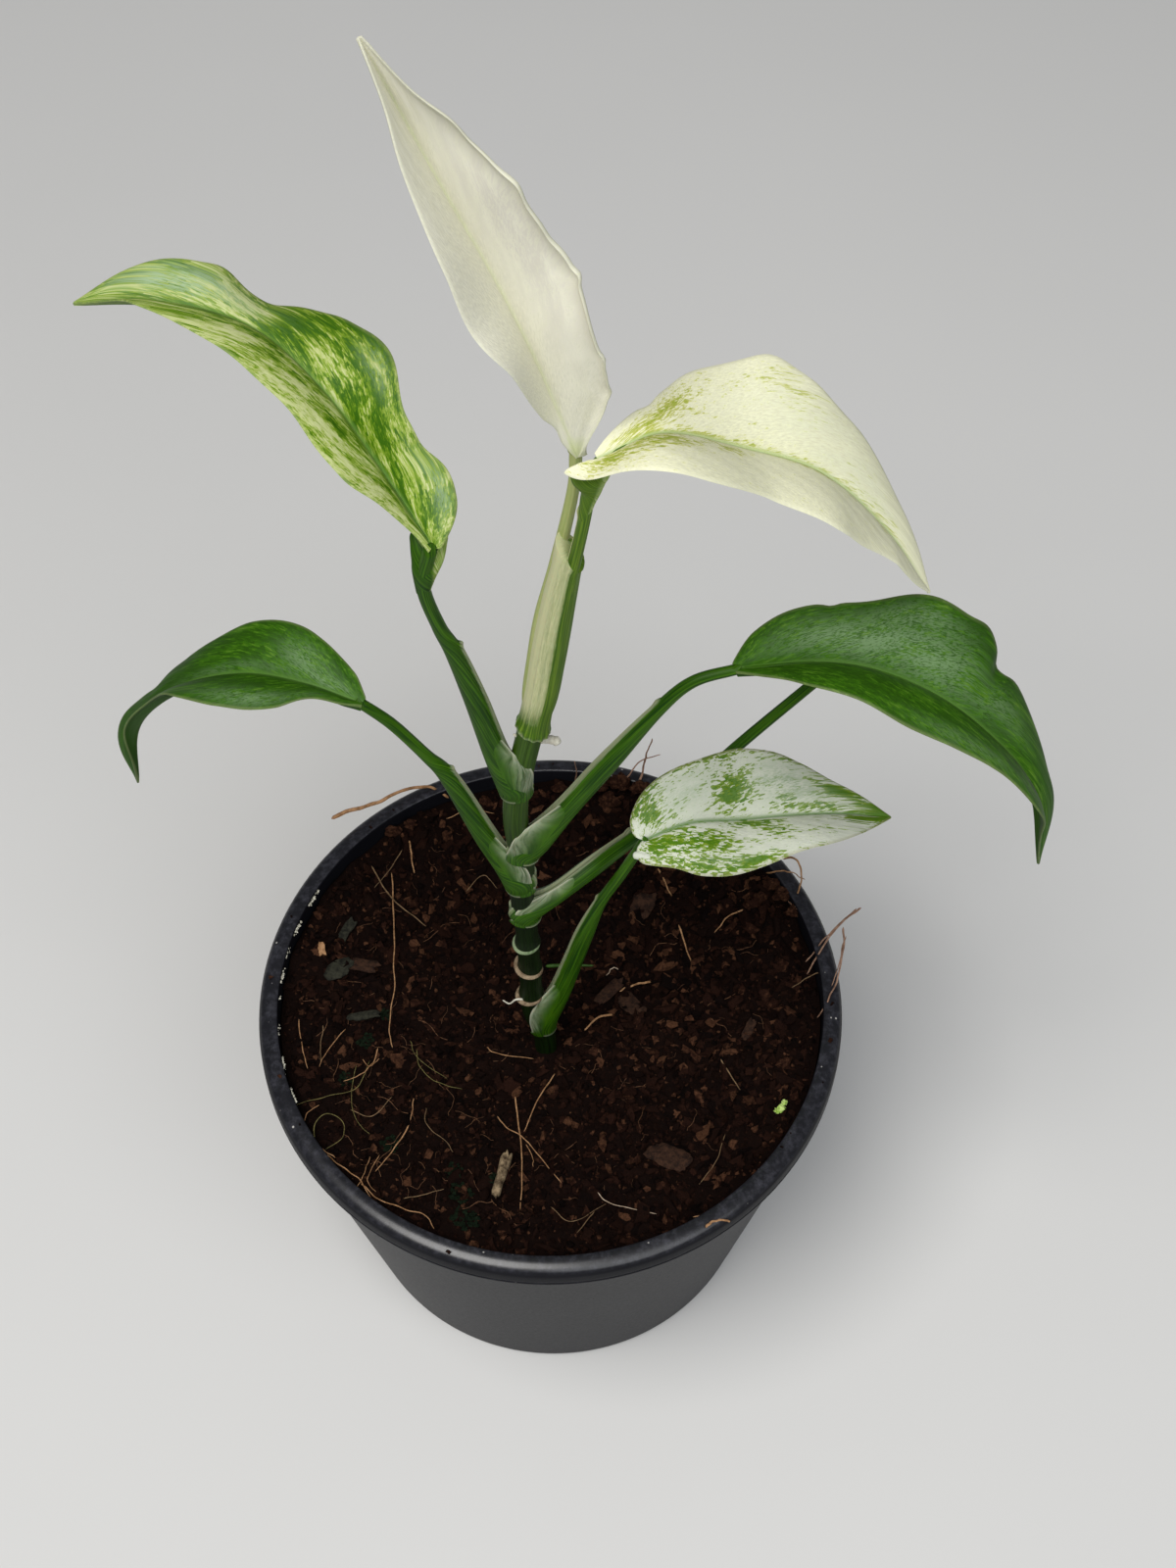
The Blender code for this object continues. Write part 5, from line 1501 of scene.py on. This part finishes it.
def strew_litter():
    """Crumbs, chips and short fibres over the soil, and grit on the rim."""
    own = settings().soil
    block = litter_growth("chips", chip_shapes, 0.55, 0.3, True)
    grit = litter_growth("crumbs", chip_shapes, 0.8, 0.65, False)
    thread = litter_growth("threads", fibre_shapes, 0.0095)
    mix = finish_for("soil_chips", soil_paint, "soil_chips")
    crusty, brown = finish_for("crust", crust_paint), tissue("coir_thread")

    def coarse(x, y):
        return away_from_stem(x, y) * (0.3 + 0.7 * step(x + 0.5 * y, -30, 30))

    def tangled(x, y):
        return away_from_stem(x, y) * (0.35 + 0.65 * step(-x - 0.6 * y, -20, 45))

    def crusted(x, y):
        return step(ripple(np.degrees(np.arctan2(y, x)) / 5, 4.0), -0.1, 0.5)

    def ledge(x, y):
        return POT_HEIGHT - 0.9 + 0.6 * (math.hypot(x, y) - INNER_RADIUS)

    def everywhere(x, y):
        return np.ones(x.shape)

    def rim_top(x, y):
        return POT_HEIGHT - 0.02

    soil = (0.5, LITTER_RADIUS, away_from_stem)
    chip_ground = (0.5, LITTER_RADIUS - 1.2, coarse)
    fibre_ground = (0.5, LITTER_RADIUS - 5, tangled)
    back = (INNER_RADIUS - 0.4, INNER_RADIUS + 0.5, crusted, ledge, 160, 4, 152, 208)
    rim = (INNER_RADIUS + 0.8, RIM_RADIUS - 1.4, everywhere, rim_top, 160, 4)
    # Name, shapes, ground, how many on each square millimetre, spacing, seed, smallest,
    # largest, tilt, how deep it sinks in, finish.
    strewn = (
        ("soil_dust", grit, soil, own.crumb_density, 0.45, 11, 0.45, 1.3, 3.0, 0.0, mix),
        ("soil_crumbs", grit, soil, 0.4 * own.crumb_density, 0.8, 17, 1.2, 3.2, 3.0, 0.0, mix),
        ("soil_chips", block, chip_ground, own.chip_density, 1.2, 23, 1.5, 4.4, 0.7, -0.05, mix),
        ("soil_fibres", thread, fibre_ground, own.fibre_density, 0.4, 37, 2.0, 8.0, 0.3, -0.09,
         brown),
        ("rim_crust", grit, back, 18.0, 0.1, 51, 0.2, 0.9, 3.0, 0.0, crusty),
        ("rim_grit", grit, rim, 0.012, 0.4, 63, 0.4, 1.4, 3.0, 0.0, mix),
    )
    for name, growth, place, density, spacing, seed, small, large, tilt, sink, finish in strewn:
        values = {"Density": density / MM ** 2, "Spacing": spacing * MM, "Seed": seed,
                  "Smallest": small * MM, "Largest": large * MM, "Tilt": tilt, "Sink": sink,
                  "Finish": finish}
        dress(grow(name, ground(name + "_ground", *place), growth, values), "soil_mix")


def make_fibres():
    """The long fibres, roots and rootlets that the soil shows."""
    skins = {}
    for k, (points, thickness, kind) in enumerate(FIBRES):
        placed = [on_soil(x, y, FIBRE_LIFT + lift) for x, y, lift in points]
        thick, thin = (share * thickness for share in FIBRE_TAPER)
        strand(skins.setdefault(kind, Skin()), placed, thick, thin, waver=0.25, seed=k + 1)
    for k, (points, thick, thin, kind) in enumerate(RIM_ROOTS):
        thick, thin = ROOT_TAPER[0] * thick, ROOT_TAPER[1] * thin
        strand(skins.setdefault(kind, Skin()), points, thick, thin, waver=0.3, seed=k + 71)
    for kind, skin in skins.items():
        dress(skin.piece("fibres_" + kind, tissue(kind)), "soil_mix")


def lump(skin, centre, size, seed, squash=0.75, rough=0.32):
    """A rounded broken lump."""
    rise = np.linspace(-math.pi / 2 + 0.12, math.pi / 2 - 0.12, LUMP_ROWS)
    a, b = np.meshgrid(rise, full_turn(LUMP_SIDES), indexing="ij")
    ways = np.stack([np.cos(a) * np.cos(b), np.cos(a) * np.sin(b), np.sin(a)], -1)
    coarse, fine = Vector((seed, 0, 0)), Vector((0, seed, 0))
    bumps = [noise.noise(Vector(way) * 1.3 + coarse) + 0.5 * noise.noise(Vector(way) * 3.1 + fine)
             for way in ways.reshape(-1, 3)]
    reach = size / 2 * (1 + 2 * rough * np.reshape(bumps, a.shape))
    skin.loft(np.array(centre) + ways * reach[..., None] * (1, 0.85, squash),
              {"tint": np.full(a.shape, CLOD_TINT)})


def make_clods():
    """Clods of coir against the rim, moss, flakes of bark and the mossy twig."""
    skin = Skin()
    for k, (x, y, lift, size) in enumerate(CLODS):
        lump(skin, on_soil(x, y, lift), size, k + 3.5)
    dress(skin.piece("soil_clods", PAINTS["soil_chips"], flat=True), "soil_mix")
    skin = Skin()
    for k, (x, y, size) in enumerate(MOSS):
        for j in range(MOSS_TUFTS):
            turn = MOSS_TURN * j + k
            out = TUFT_SPREAD * size * math.sqrt(j)
            spot = on_soil(x + out * math.cos(turn), y + out * math.sin(turn), 0.2)
            lump(skin, spot, size * TUFT_SIZE, 5 * k + j, 0.6, 0.5)
    dress(skin.piece("moss_cushions", finish_for("moss", moss_paint)), "soil_mix")
    flakes = {}
    for k, (x, y, lift, length, width, turn, kind) in enumerate(FLAKES):
        skin = flakes.setdefault(kind, Skin())
        make_flake(skin, on_soil(x, y, 0.4 + lift), length, width, math.radians(turn), k)
    for kind, skin in flakes.items():
        dress(skin.piece("flakes_" + kind, tissue(kind)), "soil_mix")
    skin = Skin()
    make_flake(skin, on_soil(-10.1, -40.8, 1.5), 12.6, 2.6, math.radians(75), 12, 3.0)
    dress(skin.piece("dead_twig", tissue("dead_twig")), "soil_mix")


def make_flake(skin, centre, length, width, turn, seed, depth=1.0):
    """A thin curved chip with a broken outline."""
    around = 0.1 + full_turn(FLAKE_STEPS)
    edge = 0.85 + 0.3 * ripple(around * 1.4, seed + 2) + 0.16 * ripple(around * 5, seed + 6)
    rings = []
    for share, rise in FLAKE_PROFILE:
        x = share * edge * length / 2 * np.cos(around) * np.abs(np.cos(around)) ** -0.35
        y = share * edge * width / 2 * np.sin(around) * np.abs(np.sin(around)) ** -0.35
        z = depth * rise + 0.25 * ripple(x / 2.2, seed + 5) + 0.06 * x
        z = z - 0.05 * y * y / max(width / 4, 1)
        rings.append(np.stack([x * math.cos(turn) - y * math.sin(turn),
                               x * math.sin(turn) + y * math.cos(turn), z], -1))
    skin.loft(np.array(rings) + np.array(centre))


def make_shoots():
    """The green stub behind the cane, a pale sprout on the soil and the short cane roots."""
    sprout = Skin()
    for k, (x, y, lift, size) in enumerate(BUDS):
        lump(sprout, on_soil(x, y, lift), size, k + 40, 0.6, 0.5)
    stub, roots = Skin(), Skin()
    for skin, table in ((stub, GREEN_STUB), (roots, CANE_ROOTS)):
        for points, thick, thin, sides, seed in table:
            strand(skin, points, thick, thin, sides=sides, seed=seed)
    dress(stub.piece("green_stub", tissue("stub_green")), "cane_green")
    dress(sprout.piece("green_sprout", tissue("sprout")), "cane_green")
    dress(roots.piece("cane_roots", tissue("aerial_root")), "cane_green")


def make_stage():
    """A pale floor, soft studio light and the camera at the photo's angle."""
    own = settings().stage
    paint = Paint("floor")
    cloud = paint.noise(paint.place(), 0.01, 2.0, 0.5)
    shade = tuple(own.floor)
    colour = paint.mix(shade, tuple(0.97 * c for c in shade), cloud)
    bpy.ops.mesh.primitive_plane_add(size=6, location=(0, 0, 0))
    floor = bpy.context.object
    floor.name = "floor"
    floor.data.materials.append(paint.finish(colour, 0.75))
    world = bpy.data.worlds.new("studio")
    world.use_nodes = True
    glow = world.node_tree.nodes["Background"].inputs
    glow["Color"].default_value = (0.92, 0.95, 1.0, 1)
    glow["Strength"].default_value = own.ambient
    bpy.context.scene.world = world
    for name, place, size, tone in LIGHTS:
        data = bpy.data.lights.new(name + "_light", "AREA")
        data.shape = "DISK"
        data.size = size
        data.energy = getattr(own, name)
        data.color = tone
        lamp = put(name + "_light", data)
        lamp.location = place
        aim = Vector(LIGHT_TARGET) - Vector(place)
        lamp.rotation_euler = aim.to_track_quat("-Z", "Y").to_euler()
    data = bpy.data.cameras.new("camera")
    data.lens = CAMERA_LENS
    data.sensor_width = 36
    data.clip_start, data.clip_end = 0.01, 20
    camera = put("camera", data)
    camera.location = CAMERA_PLACE
    camera.rotation_euler = (CAMERA_TILT, 0, 0)
    bpy.context.scene.camera = camera
    bpy.context.scene.view_settings.view_transform = "Standard"


def colour_setting(name, description, default):
    """A colour that the user may change."""
    return FloatVectorProperty(name=name, description=description, default=default,
                               subtype="COLOR", min=0, max=1)


class LeafColours(bpy.types.PropertyGroup):
    green: colour_setting("Green", "Dark tissue of the green leaves", (0.030, 0.108, 0.002))
    lime: colour_setting("Lime", "Yellow-green tissue of the mottled leaf", (0.19, 0.30, 0.02))
    cream: colour_setting("Cream", "Tissue without green of the cream leaf", (0.73, 0.73, 0.52))
    white: colour_setting("White", "Tissue of the new white leaf", (0.71, 0.70, 0.575))


class PotSettings(bpy.types.PropertyGroup):
    plastic: colour_setting("Plastic", "Colour of the pot", (0.0045, 0.0046, 0.0065))
    rim_rounding: FloatProperty(
        name="Rim rounding", description="How softly the rim's outer edge turns",
        default=1.6 * MM, min=0.2 * MM, max=3 * MM, subtype="DISTANCE", unit="LENGTH")


class SoilSettings(bpy.types.PropertyGroup):
    dark: colour_setting("Dark", "Darkest bits of the soil", (0.003, 0.0013, 0.001))
    middle: colour_setting("Middle", "Usual tone of the soil", (0.0125, 0.0046, 0.0027))
    light: colour_setting("Light", "Dry tan bits of the soil", (0.085, 0.037, 0.019))
    crumb_density: FloatProperty(
        name="Crumbs", description="Fine crumbs on each square millimetre",
        default=0.8, min=0, max=1)
    chip_density: FloatProperty(
        name="Chips", description="Chips of coir and bark on each square millimetre",
        default=0.2, min=0, max=0.4)
    fibre_density: FloatProperty(
        name="Fibres", description="Short fibres on each square millimetre",
        default=0.045, min=0, max=0.2)


class StageSettings(bpy.types.PropertyGroup):
    floor: colour_setting("Floor", "Colour of the pale floor", (0.70, 0.70, 0.69))
    key: FloatProperty(
        name="Key light", description="Power of the soft light above on the left",
        default=16, min=0, subtype="POWER", unit="POWER")
    fill: FloatProperty(
        name="Fill light", description="Power of the wide light at the front",
        default=8, min=0, subtype="POWER", unit="POWER")
    ambient: FloatProperty(
        name="Ambient", description="Strength of the even light around", default=0.14, min=0)


class MonsteraSettings(bpy.types.PropertyGroup):
    leaves: PointerProperty(type=LeafColours)
    pot: PointerProperty(type=PotSettings)
    soil: PointerProperty(type=SoilSettings)
    stage: PointerProperty(type=StageSettings)


class MONSTERA_OT_stage(bpy.types.Operator):
    """Make the floor, the lights and the camera"""
    bl_idname = "monstera.make_stage"
    bl_label = "Stage"

    def execute(self, context):
        make_stage()
        return {"FINISHED"}


class MONSTERA_OT_pot(bpy.types.Operator):
    """Make the plastic pot"""
    bl_idname = "monstera.make_pot"
    bl_label = "Pot"

    def execute(self, context):
        make_pot()
        return {"FINISHED"}


class MONSTERA_OT_soil(bpy.types.Operator):
    """Make the soil with its crumbs, chips and fibres"""
    bl_idname = "monstera.make_soil"
    bl_label = "Soil"

    def execute(self, context):
        make_soil()
        strew_litter()
        return {"FINISHED"}


class MONSTERA_OT_litter(bpy.types.Operator):
    """Make the long fibres, clods, moss, flakes and sprouts that lie on the soil"""
    bl_idname = "monstera.make_litter"
    bl_label = "Surface litter"

    def execute(self, context):
        make_fibres()
        make_clods()
        make_shoots()
        return {"FINISHED"}


class MONSTERA_OT_cane(bpy.types.Operator):
    """Make the cane with its scars"""
    bl_idname = "monstera.make_cane"
    bl_label = "Cane"

    def execute(self, context):
        make_cane()
        return {"FINISHED"}


class MONSTERA_OT_leaves(bpy.types.Operator):
    """Make the seven leaves with their stalks and sheaths"""
    bl_idname = "monstera.make_leaves"
    bl_label = "Leaves"

    def execute(self, context):
        make_leaves()
        return {"FINISHED"}


class MONSTERA_PT_sidebar(bpy.types.Panel):
    """Lists the plant's parts and their settings"""
    bl_label = "Potted Monstera"
    bl_idname = "MONSTERA_PT_sidebar"
    bl_space_type = "VIEW_3D"
    bl_region_type = "UI"
    bl_category = "Monstera"

    def draw(self, context):
        for operator in OPERATORS:
            self.layout.operator(operator.bl_idname)
        for group in ("leaves", "pot", "soil", "stage"):
            box = self.layout.box()
            own = getattr(context.scene.monstera, group)
            for key in own.__annotations__:
                box.prop(own, key)


OPERATORS = (MONSTERA_OT_stage, MONSTERA_OT_pot, MONSTERA_OT_soil, MONSTERA_OT_litter,
             MONSTERA_OT_cane, MONSTERA_OT_leaves)
CLASSES = (LeafColours, PotSettings, SoilSettings, StageSettings, MonsteraSettings, *OPERATORS,
           MONSTERA_PT_sidebar)


def register():
    for each in CLASSES:
        bpy.utils.register_class(each)
    bpy.types.Scene.monstera = PointerProperty(type=MonsteraSettings)


def unregister():
    del bpy.types.Scene.monstera
    for each in reversed(CLASSES):
        bpy.utils.unregister_class(each)


def main():
    register()
    bpy.ops.monstera.make_stage()
    bpy.ops.monstera.make_pot()
    bpy.ops.monstera.make_soil()
    bpy.ops.monstera.make_litter()
    bpy.ops.monstera.make_cane()
    bpy.ops.monstera.make_leaves()


if __name__ == "__main__":
    main()
